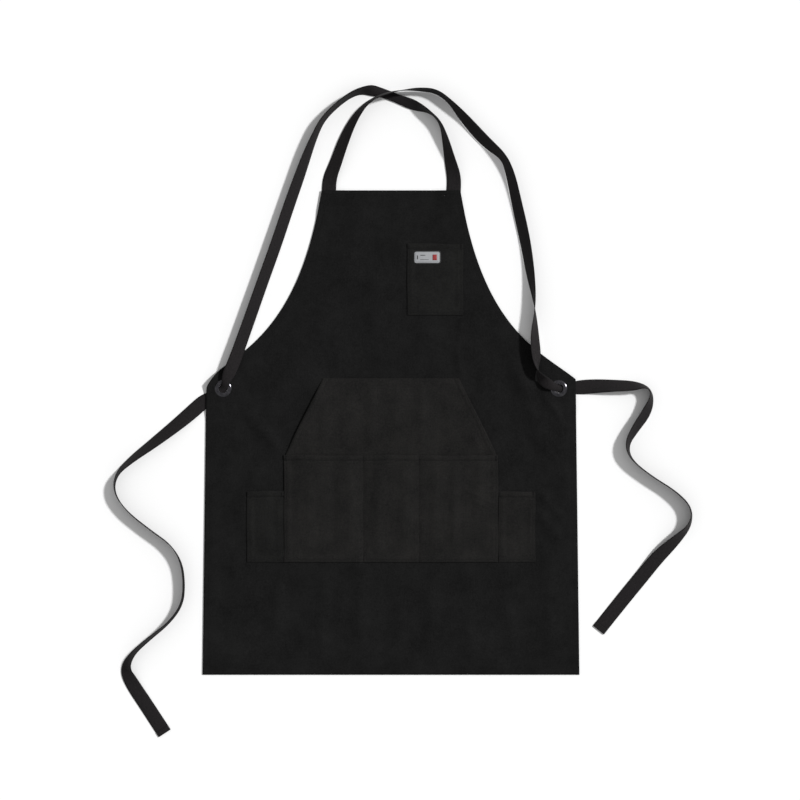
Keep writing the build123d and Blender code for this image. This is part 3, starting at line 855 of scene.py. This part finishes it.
# ---- Pockets -------------------------------------------------------------------------------
@dataclass
class PatchPocket:
    """A pocket with turned-in edges, sewn on at its sides and bottom and open at its mouth."""

    name: str
    node: str
    base: Height
    finish: bpy.types.Material
    dividers: tuple[float, ...] = ()
    puff: float = 2.6
    mouth_hem: float = 10.0
    thickness: float = 0.8
    turned: float = 2.4
    mouth_line: float = 1.3
    spacing: float = 2.5
    seam: float = 5.0
    wander: float = 0.7
    phase: float = 0.0
    creases: list[Crease] = field(default_factory=list)

    def __post_init__(self) -> None:
        """Takes the pocket's place from its CAD node."""
        low, high = node_box(self.node)
        self.left, self.low_edge = float(low[0]), float(low[1])
        self.right, self.mouth = float(high[0]), float(high[1])

    def sewn_distance(self, x: np.ndarray, y: np.ndarray) -> np.ndarray:
        """How far a place is from the nearest sewn line of the pocket.

        Args:
            x: Where the places are, across.
            y: Where they are, up the apron.

        Returns:
            The distance at each place.
        """
        near = np.minimum(np.minimum(x - self.left, self.right - x), y - self.low_edge)
        for divider in self.dividers:
            near = np.minimum(near, np.abs(x - divider) + 2.0)
        return near

    def top(self, x: np.ndarray, y: np.ndarray) -> np.ndarray:
        """The height of the pocket's face.

        Args:
            x: Where the places are, across.
            y: Where they are, up the apron.

        Returns:
            The height at each place.
        """
        x, y = np.asarray(x, float), np.asarray(y, float)
        near = self.sewn_distance(x, y)
        open_share = 0.45 + 0.55 * smooth(y, self.low_edge, self.mouth)
        crown = self.puff * smooth(near, 1.5, 34) * open_share
        ripple = 0.45 * np.sin(x / 27 + self.phase) + 0.35 * np.sin(x / 13 + y / 60 + 2 * self.phase)
        ripple = (ripple + 0.3 * np.sin(y / 24 + x / 95 + self.phase)) * smooth(near, 4, 22)
        for crease in self.creases:
            ripple = ripple + crease.at(x, y) * smooth(near, 3, 16)
        edge = np.minimum(np.minimum(x - self.left, self.right - x),
                          np.minimum(y - self.low_edge, self.mouth - y))
        turned = self.turned * (1 - 0.6 * smooth(edge, 8, 16))
        rounding = -0.9 * (1 - smooth(edge, -0.3, 1.8))
        groove = -0.5 * bell(near - 1.9, 1.0) - 0.6 * bell(near - self.seam, 1.3)
        band = -self.mouth_line * bell(self.mouth - y - self.mouth_hem, 1.5)
        band = band + 0.6 * bell(self.mouth - y - self.mouth_hem / 2, self.mouth_hem / 2.4)
        for divider in self.dividers:
            groove = groove - 1.0 * bell(x - divider, 1.8)
        return self.base(x, y) + turned + crown + ripple + rounding + groove + band

    def build(self) -> bpy.types.Object:
        """Builds the pocket's cloth.

        Returns:
            The new piece.
        """
        columns = int((self.right - self.left) / self.spacing) + 1
        rows = int((self.mouth - self.low_edge) / self.spacing) + 1
        across = np.linspace(self.left, self.right, columns)
        near = [divider + step for divider in self.dividers for step in (-1.8, -0.9, 0.0, 0.9, 1.8)]
        across = np.unique(np.concatenate([across, near, self.left + np.array((0.6, 1.4, 2.0)),
                                           self.right - np.array((0.6, 1.4, 2.0))]))
        down = self.mouth - np.array((0.6, 1.4, self.mouth_hem - 1, self.mouth_hem, self.mouth_hem + 1))
        upward = np.unique(np.concatenate([np.linspace(self.low_edge, self.mouth, rows), down,
                                           self.low_edge + np.array((0.6, 1.4, 2.0))]))
        x, y = np.meshgrid(across, upward)
        v = (y - self.low_edge) / (self.mouth - self.low_edge)
        high = self.top(x, y)
        edge = np.minimum(np.minimum(x - self.left, self.right - x),
                          np.minimum(y - self.low_edge, self.mouth - y))
        low = high - self.thickness - 0.6 * (1 - smooth(edge, 8, 12))
        low = np.maximum(low, self.base(x, y) - 0.25)
        sag = self.wander * np.sin(x / 31 + self.phase) + 0.5 * self.wander * np.sin(x / 12 + 2)
        y = y + sag * smooth(v, 0.6, 1.0)
        x = x + 0.5 * self.wander * np.sin(y / 17 + self.phase)
        points, faces = closed_sheet(x, y, low, high)
        piece = make_piece(self.name, points, faces, self.finish)
        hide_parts(self.node)
        return piece

    def sew(self, seam: Seam) -> None:
        """Adds the pocket's rows of stitches.

        Args:
            seam: The set of seams that takes them.
        """
        for inset in (1.9, self.seam):
            left, right = self.left + inset, self.right - inset
            low, high = self.low_edge + inset, self.mouth - 1
            seam.row([(left, high), (left, low), (right, low), (right, high)], self.top)
        for divider in self.dividers:
            seam.row([(divider, self.low_edge + self.seam), (divider, self.mouth - 1)], self.top)
        y = self.mouth - self.mouth_hem
        seam.row([(self.left + 1.5, y), (self.right - 1.5, y)], self.top)

    def tack(self, tacks: Seam, sides: Sequence[int]) -> None:
        """Adds bar tacks at the mouth's corners.

        Args:
            tacks: The set of stitches that takes them.
            sides: The corners to tack: -1 for the left one and 1 for the right one.
        """
        length, width, turns = 9.0, 3.0, 13
        for side in sides:
            middle = self.left + 3.4 if side < 0 else self.right - 3.4
            for turn in range(turns):
                y = self.mouth - 1.2 - length * turn / turns
                ends = [np.array((x, y + tilt, float(self.top(np.array(x), np.array(y)))))
                        for x, tilt in ((middle - width / 2, 0.0), (middle + width / 2, 0.35))]
                tacks.add(*ends)


@dataclass
class HandPocket:
    """The panel with a slanted opening at each side, which runs on below the front pocket."""

    base: Height
    finish: bpy.types.Material
    top_half: float = 126.5
    waist_y: float = -42.0
    slant_hem: float = 9.5
    puff: float = 3.2
    thickness: float = 0.8
    spacing: float = 3.0
    creases: list[Crease] = field(default_factory=lambda: [
        Crease((-122, 50), (-128, -34), 9, 2.0),
        Crease((-74, 96), (-84, -30), 12, 1.6),
        Crease((-34, 98), (-38, -34), 10, 2.2),
        Crease((14, 98), (10, -34), 12, 1.5),
        Crease((58, 98), (56, -34), 10, 2.2),
        Crease((104, 70), (112, -34), 10, 1.8),
        Crease((150, 0), (166, -36), 7, 1.8),
    ])

    def __post_init__(self) -> None:
        """Takes the panel's place from its CAD node."""
        low, high = node_box("hand_pocket")
        self.half, self.low_edge, self.high_edge = float(high[0]), float(low[1]), float(high[1])

    def half_width(self, y: np.ndarray) -> np.ndarray:
        """Half of the panel's width."""
        return np.interp(y, [self.waist_y, self.high_edge], [self.half, self.top_half])

    def top(self, x: np.ndarray, y: np.ndarray) -> np.ndarray:
        """The height of the panel's face.

        Args:
            x: Where the places are, across.
            y: Where they are, up the apron.

        Returns:
            The height at each place.
        """
        x, y = np.asarray(x, float), np.asarray(y, float)
        slope = (self.half - self.top_half) / (self.high_edge - self.waist_y)
        side = (self.half_width(y) - np.abs(x)) / hypot(1, slope)
        upper = self.high_edge - y
        hand = smooth(upper, 2, 40) * smooth(y, self.waist_y + 4, self.waist_y + 44)
        crown = self.puff * hand
        ripple = 0.4 * np.sin(x / 31 + 0.8) + 0.35 * np.sin(x / 17 - y / 40)
        ripple = ripple + 0.3 * np.sin(y / 23 + x / 80)
        for crease in self.creases:
            ripple = ripple + crease.at(x, y)
        ripple = ripple * smooth(upper, 4, 20) * smooth(y, self.waist_y - 10, self.waist_y + 14)
        above = smooth(y, self.waist_y - 6, self.waist_y + 2)
        turned = 0.9 + above * (1.4 * (1 - 0.9 * smooth(np.minimum(side, upper), 8, 16)))
        rounding = -0.9 * above * (1 - smooth(np.minimum(side, upper), -0.3, 1.8))
        groove = -0.8 * bell(upper - 1.9, 1.0) - 0.9 * bell(upper - 5.0, 1.3)
        groove = groove - above * (1.2 * bell(side - self.slant_hem, 1.5) + 0.5 * bell(side - 2.0, 1.0))
        return self.base(x, y) + turned + crown + ripple + rounding + groove

    def build(self) -> bpy.types.Object:
        """Builds the panel's cloth.

        Returns:
            The new piece.
        """
        rows = np.arange(self.low_edge, self.high_edge, self.spacing)
        rows = np.unique(np.append(rows, [self.waist_y, self.high_edge]))
        share = np.linspace(-1, 1, 133)
        x = self.half_width(rows)[:, None] * share[None, :]
        y = np.repeat(rows[:, None], len(share), axis=1)
        high = self.top(x, y)
        low = np.maximum(high - self.thickness - 0.5, self.base(x, y) - 0.25)
        x = x + 0.5 * np.sin(y / 19 + 1) * share[None, :]
        points, faces = closed_sheet(x, y, low, high)
        piece = make_piece("hand_pocket_cloth", points, faces, self.finish)
        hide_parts("hand_pocket")
        return piece

    def sew(self, seam: Seam) -> None:
        """Adds the panel's rows of stitches.

        Args:
            seam: The set of seams that takes them.
        """
        for inset in (1.9, 5.0):
            y = self.high_edge - inset
            seam.row([(-self.top_half + 2, y), (self.top_half - 2, y)], self.top)
        slope = (self.half - self.top_half) / (self.high_edge - self.waist_y)
        for inset in (2.0, self.slant_hem):
            across = inset * hypot(1, slope)
            for side in (-1, 1):
                upper, lower = self.high_edge - 3, self.waist_y + 1
                seam.row([(side * (float(self.half_width(np.array(upper))) - across), upper),
                          (side * (float(self.half_width(np.array(lower))) - across), lower)],
                         self.top)


# ---- Label ---------------------------------------------------------------------------------
@dataclass
class WovenLabel:
    """A small plain label: a black edge, a pale field, three dark bars and a red block."""

    base: Height
    ground: bpy.types.Material
    border: bpy.types.Material
    bars: bpy.types.Material
    accent: bpy.types.Material
    corner: float = 5.5
    margin: float = 2.0
    rim: float = 3.4
    thickness: float = 0.7

    def __post_init__(self) -> None:
        """Takes the label's place from its CAD node."""
        low, high = node_box("woven_label")
        self.middle = (low + high)[:2] / 2
        self.half = (high - low)[:2] / 2

    def outline(self, inset: float, steps: int = 8) -> np.ndarray:
        """Points round the label's outline, or round one inside it.

        Args:
            inset: How far in from the label's outline the points are.
            steps: How many steps each round corner has.

        Returns:
            The points.
        """
        half = self.half - inset
        radius = max(self.corner - inset, 0.6)
        points = []
        for quarter, (sx, sy) in enumerate(((1, 1), (-1, 1), (-1, -1), (1, -1))):
            for step in range(steps + 1):
                turn = pi / 2 * (quarter + step / steps)
                points.append((sx * (half[0] - radius) + radius * cos(turn),
                               sy * (half[1] - radius) + radius * sin(turn)))
        return np.array(points) + self.middle

    def height(self, x: np.ndarray, y: np.ndarray) -> np.ndarray:
        """The height of the pocket's face, on which the label lies."""
        return self.base(x, y)

    def build_ring(self, name: str, outer: float, inner: float,
                   finish: bpy.types.Material) -> bpy.types.Object:
        """Builds a raised woven band round the label.

        Args:
            name: The piece's name.
            outer: How far the band's outer side is in from the label's outline.
            inner: The same for its inner side.
            finish: Its material.

        Returns:
            The new piece.
        """
        levels = [(outer, -0.2), (outer, 0.45), (outer + 0.3, self.thickness),
                  (inner - 0.3, self.thickness), (inner, 0.5), (inner, -0.2)]
        loops = []
        for inset, rise in levels:
            line = self.outline(inset)
            height = self.height(line[:, 0], line[:, 1]) + rise
            loops.append(np.column_stack([line, height]))
        count = len(loops[0])
        points = np.concatenate(loops)
        faces = []
        for level in range(len(levels)):
            after = (level + 1) % len(levels)
            for i in range(count):
                j = (i + 1) % count
                faces.append((level * count + i, level * count + j, after * count + j, after * count + i))
        return make_piece(name, points, faces, finish)

    def build_block(self, name: str, centre: tuple[float, float], half: tuple[float, float],
                    finish: bpy.types.Material, rise: float) -> bpy.types.Object:
        """Builds a flat woven block of the label, which follows the pocket's face.

        Args:
            name: The piece's name.
            centre: The block's middle, from the label's middle.
            half: Half of its width and height.
            finish: Its material.
            rise: How far its face stands above the pocket's.

        Returns:
            The new piece.
        """
        columns, rows = max(5, int(half[0])), max(4, int(half[1]))
        u, v = np.meshgrid(np.linspace(-1, 1, columns), np.linspace(-1, 1, rows))
        x = self.middle[0] + centre[0] + half[0] * u
        y = self.middle[1] + centre[1] + half[1] * v
        high = self.height(x, y) + rise
        points, faces = closed_sheet(x, y, high - rise - 0.1, high)
        return make_piece(name, points, faces, finish)

    def build(self) -> list[bpy.types.Object]:
        """Builds the label's edge, border, field, bars and block.

        Returns:
            The new pieces.
        """
        field_half = (self.half[0] - self.rim + 0.3, self.half[1] - self.rim + 0.3)
        pieces = [self.build_ring("label_edge", 0.0, self.margin, self.border),
                  self.build_ring("label_border", self.margin, self.rim, self.ground),
                  self.build_block("label_field", (0, 0), field_half, self.ground, 0.4)]
        bars = (((-18.0, 0.0), (0.8, 3.6)), ((-8.0, 3.9), (4.5, 0.6)), ((-5.0, -4.2), (8.0, 0.35)))
        for index, (centre, half) in enumerate(bars):
            pieces.append(self.build_block(f"label_bar_{index + 1}", centre, half, self.bars, 0.6))
        pieces.append(self.build_block("label_accent", (14.0, 0.0), (4.0, 5.2), self.accent, 0.6))
        for piece in pieces:
            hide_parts("woven_label")
        return pieces


# ---- Eyelets -------------------------------------------------------------------------------
@dataclass
class EyeletSet:
    """The two pressed eyelets with their washers and patches, which keep their CAD shapes."""

    metal: bpy.types.Material
    cloth: bpy.types.Material

    @staticmethod
    def hole_radius(cloth: ApronCloth) -> float:
        """The radius of the hole that the cloth has for an eyelet."""
        low, high = node_box("right_eyelet")
        return float(high[0] - low[0]) / 2 - 5.2

    def dress(self) -> None:
        """Gives the eyelets, washers and patches their finishes."""
        for side in ("left", "right"):
            for part, finish in (("eyelet", self.metal), ("eyelet_washer", self.metal),
                                 ("eyelet_patch", self.cloth)):
                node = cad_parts[f"{side}_{part}"]
                node.data.materials.clear()
                node.data.materials.append(finish)
                LOG.info("%s dressed", node.name)


# ---- Straps --------------------------------------------------------------------------------
@dataclass
class Strap:
    """A flat strap of webbing that lies loose: its route, its roll and its folded end.

    Each stop of the route is x, y and z of the strap's middle line, the roll of its width up
    from level in degrees, and how far it is gathered, from 0, flat, to 1, in the eyelet.
    """

    name: str
    node: str
    row_node: str
    route: list[tuple[float, float, float, float, float]]
    finish: bpy.types.Material
    thread: bpy.types.Material
    width: float = 26.0
    thickness: float = 1.5
    gathered_width: float = 14.0
    gathered_thickness: float = 2.2
    gathered_arch: float = 2.6
    end_fold: float = 10.0
    map_start: float = 0.0

    def smooth_line(self, stops: Sequence[Point]) -> np.ndarray:
        """Points along the NURBS spline whose control points are the stops.

        Args:
            stops: The control points.

        Returns:
            The spline's points, one to a row.
        """
        curve = bpy.data.curves.new("route", "CURVE")
        curve.dimensions = "3D"
        spline = curve.splines.new("NURBS")
        spline.points.add(len(stops) - 1)
        for point, stop in zip(spline.points, stops):
            point.co = (*stop, 1.0)
        spline.order_u = 3
        spline.use_endpoint_u = True
        spline.resolution_u = 9
        holder = bpy.data.objects.new("route", curve)
        mesh = bpy.data.meshes.new_from_object(holder)
        line = np.array([vertex.co for vertex in mesh.vertices])
        bpy.data.objects.remove(holder)
        bpy.data.curves.remove(curve)
        bpy.data.meshes.remove(mesh)
        return line

    def sections(self) -> tuple[np.ndarray, ...]:
        """Works the strap's sections out from its route.

        Returns:
            The strap's middle line, its two cross directions, both sizes and its gathering.
        """
        line = self.smooth_line([(x * MM, y * MM, z * MM) for x, y, z, _, _ in self.route]) / MM
        lean = self.smooth_line([(roll / 100, gather, 0.0) for *_, roll, gather in self.route])
        roll, gather = np.radians(lean[:, 0] * 100), lean[:, 1]
        along = np.gradient(line, axis=0)
        along = along / np.linalg.norm(along, axis=1)[:, None]
        level = np.stack([along[:, 1], -along[:, 0], np.zeros(len(line))], 1)
        level = level / np.linalg.norm(level, axis=1)[:, None]
        up = np.cross(level, along)
        across = level * np.cos(roll)[:, None] + up * np.sin(roll)[:, None]
        face = up * np.cos(roll)[:, None] - level * np.sin(roll)[:, None]
        width = self.width + (self.gathered_width - self.width) * gather
        thickness = self.thickness + (self.gathered_thickness - self.thickness) * gather
        lowest = (width * np.abs(np.sin(roll)) + thickness * np.abs(np.cos(roll))) / 2 + 0.1
        line[:, 2] = np.maximum(line[:, 2], lowest)
        return line, across, face, width, thickness, gather

    def build(self) -> bpy.types.Object:
        """Returns:
            The new piece.
        """
        line, across, face, width, thickness, gather = self.sections()
        run = np.concatenate([[0], np.cumsum(np.linalg.norm(np.diff(line, axis=0), axis=1))])
        half = np.linspace(-1, 1, 9)
        profile = [(s, 1.0 - 0.25 * (abs(s) > 0.9)) for s in half]
        profile += [(1.02, 0.0)] + [(s, -h) for s, h in reversed(profile)] + [(-1.02, 0.0)]
        points, places = [], []
        for k in range(len(line)):
            ripple = 0.35 * sin(run[k] / 31 + self.map_start) * sin(run[k] / 83)
            ripple += self.gathered_arch * gather[k] * (1 if face[k][2] > 0 else -1) / 2
            for share, side in profile:
                cup = ripple * (1 - 2 * share * share)
                points.append(line[k] + across[k] * share * width[k] / 2
                              + face[k] * (side * thickness[k] / 2 + cup))
                places.append((run[k], share * self.width / 2 + 13))
        faces = tube_faces(len(line), len(profile))
        piece = make_piece(self.name, np.array(points), faces, self.finish,
                           np.array(places))
        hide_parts(self.node)
        shown = face[-1] if face[-1][2] > 0 else -face[-1]
        hem = self.build_end(line, across[-1], shown)
        row = self.sew_end(line, across[-1], shown)
        return piece

    def build_end(self, line: np.ndarray, across: np.ndarray,
                  shown: np.ndarray) -> bpy.types.Object:
        """Builds the folded end, which lies on the strap's upper face.

        Args:
            line: The strap's middle line.
            across: The direction of its width at the end.
            shown: The direction that its upper face looks in.

        Returns:
            The new piece.
        """
        back = line[-2] - line[-1]
        back = back / np.linalg.norm(back)
        u, v = np.meshgrid(np.linspace(-1, 1, 11), np.linspace(-0.4, self.end_fold, 7))
        place = line[-1] + back * v[..., None] + across * (u * self.width / 2 * 0.985)[..., None]
        rise = self.thickness / 2 + 1.3 - 0.5 * smooth(np.abs(u), 0.8, 1.0) - 0.7 * smooth(v, 8.5, 10)
        high = place + shown * rise[..., None]
        low = place + shown * (self.thickness / 2 - 0.2)
        points, faces = closed_sheet(high[..., 0], high[..., 1], low[..., 2], high[..., 2])
        return make_piece(f"{self.name}_end", points, faces, self.finish, points[:, :2])

    def sew_end(self, line: np.ndarray, across: np.ndarray,
                shown: np.ndarray) -> bpy.types.Object:
        """Sews the folded end down with a row of stitches.

        Args:
            line: The strap's middle line.
            across: The direction of its width at the end.
            shown: The direction that its upper face looks in.

        Returns:
            The new piece.
        """
        back = (line[-2] - line[-1]) / np.linalg.norm(line[-2] - line[-1])
        middle = line[-1] + back * (self.end_fold - 2) + shown * (self.thickness / 2 + 1.2)
        seam = Seam(f"{self.name}_row", self.row_node, self.thread)
        count = 7
        for index in range(count):
            spots = [middle + across * self.width * 0.92 * ((index + share) / count - 0.5)
                     for share in (0.0, seam.share)]
            seam.add(*spots)
        return seam.build()


LEFT_STRAP_ROUTE = [
    (-115, 421, 0.8, 0, 0),
    (-116, 453, 0.8, 0, 0),
    (-113, 476, 4.0, 16, 0),
    (-103, 500, 8.0, 30, 0),
    (-88, 542, 10.0, 38, 0),
    (-68, 584, 13.0, 56, 0),
    (-42, 615, 17.5, 76, 0),
    (-10, 629, 19.6, 76, 0),
    (22, 635, 18.6, 84, 0),
    (52, 637, 15.0, 98, 0),
    (84, 634, 14.0, 102, 0),
    (110, 615, 13.5, 100, 0),
    (140, 578, 11.5, 132, 0),
    (178, 537, 11.0, 136, 0),
    (210, 512, 12.8, 110, 0),
    (222, 478, 12.0, 126, 0),
    (233, 428, 11.0, 134, 0),
    (247, 368, 10.8, 136, 0),
    (258, 300, 11.6, 126, 0),
    (268, 235, 14.2, 92, 0),
    (266, 180, 15.5, 50, 0),
    (269.5, 144, 16.5, 46, 0),
    (271, 122, 17.5, 72, 0.1),
    (274.5, 106, 17.5, 116, 0.15),
    (285, 93.5, 16.0, 150, 0.25),
    (296, 87.5, 13.5, 170, 0.7),
    (303, 84.5, 9.6, 180, 1),
    (314, 81.5, 1.1, 180, 1),
    (327, 81, 1.0, 180, 0.7),
    (348, 84, 0.8, 180, 0),
    (376, 86, 2.5, 190, 0),
    (412, 87, 9.0, 214, 0),
    (448, 87, 10.5, 224, 0),
    (477, 86, 13.2, 266, 0),
    (485, 68, 12.5, 254, 0),
    (475, 38, 10.0, 222, 0),
    (452, 6, 11.5, 232, 0),
    (437, -22, 12.8, 248, 0),
    (445, -50, 13.2, 264, 0),
    (482, -80, 13.3, 266, 0),
    (531, -110, 13.3, 266, 0),
    (559, -140, 13.3, 264, 0),
    (556, -172, 13.0, 254, 0),
    (528, -200, 9.5, 222, 0),
    (495, -232, 3.0, 190, 0),
    (466, -268, 0.9, 180, 0),
    (428, -314, 0.8, 180, 0),
    (386, -367, 0.8, 180, 0),
]
RIGHT_STRAP_ROUTE = [
    (115, 421, 0.8, 0, 0),
    (117, 453, 0.8, 0, 0),
    (117, 477, 4.0, 16, 0),
    (110, 505, 9.5, 42, 0),
    (101, 545, 12.8, 66, 0),
    (91, 577, 13.3, 86, 0),
    (70, 597, 13.3, 88, 0),
    (42, 608, 8.5, 40, 0.3),
    (16, 619, 3.0, 5, 0.8),
    (-9, 629, 3.0, 0, 0.8),
    (-28, 634.5, 3.6, 8, 0.6),
    (-47, 636, 11.8, 62, 0.1),
    (-70, 630, 13.0, 74, 0),
    (-98, 611, 13.3, 75, 0),
    (-127, 582, 13.3, 74, 0),
    (-142, 550, 12.8, 68, 0),
    (-155, 518, 11.4, 56, 0),
    (-170, 476, 10.4, 46, 0),
    (-188, 425, 10.2, 42, 0),
    (-210, 360, 11.2, 40, 0),
    (-234, 292, 11.2, 40, 0),
    (-256, 230, 11.8, 38, 0),
    (-275, 176, 12.6, 36, 0),
    (-288, 139, 14.0, 32, 0),
    (-298, 115, 14.5, 20, 0.15),
    (-305, 100, 12.5, 8, 0.6),
    (-307.5, 90, 9.6, 2, 1),
    (-312.5, 81, 1.0, 0, 1),
    (-323, 71.5, 1.0, 0, 0.7),
    (-347, 59, 0.8, 0, 0),
    (-368, 40, 1.6, -4, 0),
    (-398, 14, 6.6, -26, 0),
    (-440, -19, 10.4, -44, 0),
    (-480, -48, 12.2, -60, 0),
    (-510, -76, 13.2, -74, 0),
    (-515, -110, 13.2, -80, 0),
    (-492, -145, 13.3, -86, 0),
    (-448, -180, 13.3, -88, 0),
    (-408, -208, 13.3, -86, 0),
    (-389, -240, 13.2, -78, 0),
    (-384, -280, 13.2, -78, 0),
    (-387, -318, 13.2, -78, 0),
    (-410, -352, 13.2, -82, 0),
    (-450, -383, 13.2, -76, 0),
    (-480, -410, 13.0, -72, 0),
    (-494, -438, 10.0, -42, 0),
    (-482, -466, 2.4, -8, 0),
    (-455, -507, 0.8, 0, 0),
    (-421, -559, 0.8, 0, 0),
]


# ---- Studio --------------------------------------------------------------------------------
@dataclass
class Studio:
    """A pale floor, soft light from the upper right, and a camera straight above."""

    view_middle: tuple[float, float] = (0.0167, 0.0605)
    view_width: float = 1.488
    camera_height: float = 5.0
    sensor: float = 36.0
    key_from: Point = (2.9, 1.3, 3.2)
    key_power: float = 2.9
    key_softness: float = 6.0
    room_light: float = 0.42

    def build(self) -> None:
        """Makes the floor, the lights and the camera."""
        self.make_floor()
        self.make_lights()
        self.make_camera()

    def make_floor(self) -> None:
        """Makes the plain pale floor."""
        mesh = bpy.data.meshes.new("studio_floor")
        half, below = 6.0, -0.0003
        mesh.from_pydata([(-half, -half, below), (half, -half, below), (half, half, below),
                          (-half, half, below)], [], [(0, 1, 2, 3)])
        floor = bpy.data.objects.new("studio_floor", mesh)
        bpy.context.scene.collection.objects.link(floor)
        paint = bpy.data.materials.new("pale_floor")
        paint.use_nodes = True
        shader = paint.node_tree.nodes["Principled BSDF"]
        shader.inputs["Base Color"].default_value = linear("#fafafa")
        shader.inputs["Roughness"].default_value = 0.9
        shader.inputs["Specular IOR Level"].default_value = 0.1
        mesh.materials.append(paint)

    def make_lights(self) -> None:
        """Makes the key light, which comes from the upper right, and the room's even light."""
        lamp = bpy.data.lights.new("key_light", "SUN")
        lamp.energy = self.key_power
        lamp.angle = radians(self.key_softness)
        light = bpy.data.objects.new("key_light", lamp)
        light.rotation_euler = (Vector(self.key_from) * -1).to_track_quat("-Z", "Y").to_euler()
        bpy.context.scene.collection.objects.link(light)
        world = bpy.data.worlds.new("room")
        world.use_nodes = True
        world.node_tree.nodes["Background"].inputs["Color"].default_value = linear("#ffffff")
        world.node_tree.nodes["Background"].inputs["Strength"].default_value = self.room_light
        bpy.context.scene.world = world
        bpy.context.scene.view_settings.view_transform = "Standard"

    def make_camera(self) -> None:
        """Makes the camera, which looks straight down with the neck at the top."""
        data = bpy.data.cameras.new("camera")
        data.sensor_width = self.sensor
        data.lens = self.sensor * self.camera_height / self.view_width
        camera = bpy.data.objects.new("camera", data)
        camera.location = (*self.view_middle, self.camera_height)
        bpy.context.scene.collection.objects.link(camera)
        bpy.context.scene.camera = camera


# ---- The whole apron -----------------------------------------------------------------------
def main() -> None:
    """Builds the studio and every piece of the apron."""
    logging.basicConfig(level=logging.INFO, format="%(message)s")
    Studio().build()

    canvas = Canvas("black_canvas").material()
    pocket_canvas = Canvas("black_pocket_canvas", deep="#121212", worn="#242322").material()
    small_canvas = Canvas("black_small_pocket_canvas", deep="#101010", worn="#20201f").material()
    facing = Canvas("black_bias_strip", deep="#0d0d0d", worn="#181818").material()
    webbing = Tape("black_webbing").material()
    thread = Thread("black_thread").material()
    metal = BlackNickel("black_nickel").material()
    border = Damask("black_damask", "#040404").material()
    pale = Damask("pale_damask", "#a9abae").material()
    dark = Damask("dark_damask", "#141416").material()
    red = Damask("red_damask", "#9c2526").material()

    for name, node, row_node, route, start in (
        ("left_strap_webbing", "left_shoulder_strap", "left_strap_stitching", LEFT_STRAP_ROUTE, 0.0),
        ("right_strap_webbing", "right_shoulder_strap", "right_strap_stitching", RIGHT_STRAP_ROUTE, 2.0),
    ):
        Strap(name, node, row_node, route, webbing, thread, map_start=start).build()

    cloth = ApronCloth(canvas)
    cloth.build()
    cloth.build_fold(EdgePart.BIB, "bib_hem", "front_panel", canvas)
    cloth.build_fold(EdgePart.SIDES_AND_BOTTOM, "side_and_bottom_hem", "front_panel", canvas)
    cloth.build_fold(EdgePart.LEFT_ARMHOLE, "left_facing", "left_armhole_facing", facing)
    cloth.build_fold(EdgePart.RIGHT_ARMHOLE, "right_facing", "right_armhole_facing", facing)

    hand = HandPocket(cloth.top, pocket_canvas)
    chest = PatchPocket("chest_pocket_cloth", "chest_pocket", cloth.top, small_canvas, phase=0.4,
                        puff=2.2, mouth_line=0.5)
    front = PatchPocket("front_pocket_cloth", "front_pocket", hand.top, pocket_canvas,
                        dividers=(-52.0, 52.0), phase=1.1, puff=3.2,
                        creases=[Crease((-150, -60), (-152, -200), 12, 1.6),
                                 Crease((-107, -60), (-108, -215), 9, -1.8),
                                 Crease((-76, -60), (-74, -225), 12, 1.8),
                                 Crease((-22, -60), (-26, -225), 12, 1.6),
                                 Crease((28, -58), (26, -228), 14, 2.2),
                                 Crease((84, -58), (80, -225), 12, 1.8),
                                 Crease((119, -52), (117, -222), 8, 2.0),
                                 Crease((165, -54), (160, -150), 10, 1.8),
                                 Crease((134, -104), (192, -134), 4.5, 1.8),
                                 Crease((146, -122), (190, -144), 4, 1.2)])
    left_tool = PatchPocket("left_tool_pocket_cloth", "left_tool_pocket", cloth.top, small_canvas,
                            phase=2.0, mouth_hem=11.0, puff=2.4)
    right_tool = PatchPocket("right_tool_pocket_cloth", "right_tool_pocket", cloth.top,
                             pocket_canvas, phase=3.1, mouth_hem=11.0, puff=2.4)
    for pocket in (hand, chest, front, left_tool, right_tool):
        pocket.build()

    tacks = Seam("bar_tack_threads", "bar_tacks", thread, radius=0.3, sink=0.2)
    for pocket in (chest, left_tool, right_tool, front):
        pocket.tack(tacks, (-1, 1))
    tacks.build()
    for name, node, pockets in (
        ("chest_pocket_seams", "chest_pocket_stitching", (chest,)),
        ("front_pocket_seams", "front_pocket_stitching", (front,)),
        ("tool_pocket_seams", "tool_pocket_stitching", (left_tool, right_tool)),
        ("hand_pocket_seams", "hand_pocket_stitching", (hand,)),
    ):
        seam = Seam(name, node, thread)
        for pocket in pockets:
            pocket.sew(seam)
        seam.build()

    hems = Seam("hem_seams", "hem_stitching", thread)
    arms = Seam("armhole_seams", "armhole_stitching", thread)
    for part in EdgePart:
        line, inward = cloth.edge_line(part)
        seam = arms if "ARMHOLE" in part.name else hems
        seam.row((line + inward * (cloth.hem_width - 2.5)).tolist(), cloth.top)
    hems.build()
    arms.build()

    label = WovenLabel(chest.top, pale, border, dark, red)
    label.build()
    ring = Seam("label_seams", "label_stitching", thread, pitch=2.4, radius=0.22, sink=0.15)
    ring.row(label.outline(1.1).tolist(), lambda x, y: label.height(x, y) + label.thickness)
    ring.build()
    EyeletSet(metal, canvas).dress()


if __name__ == "__main__":
    main()
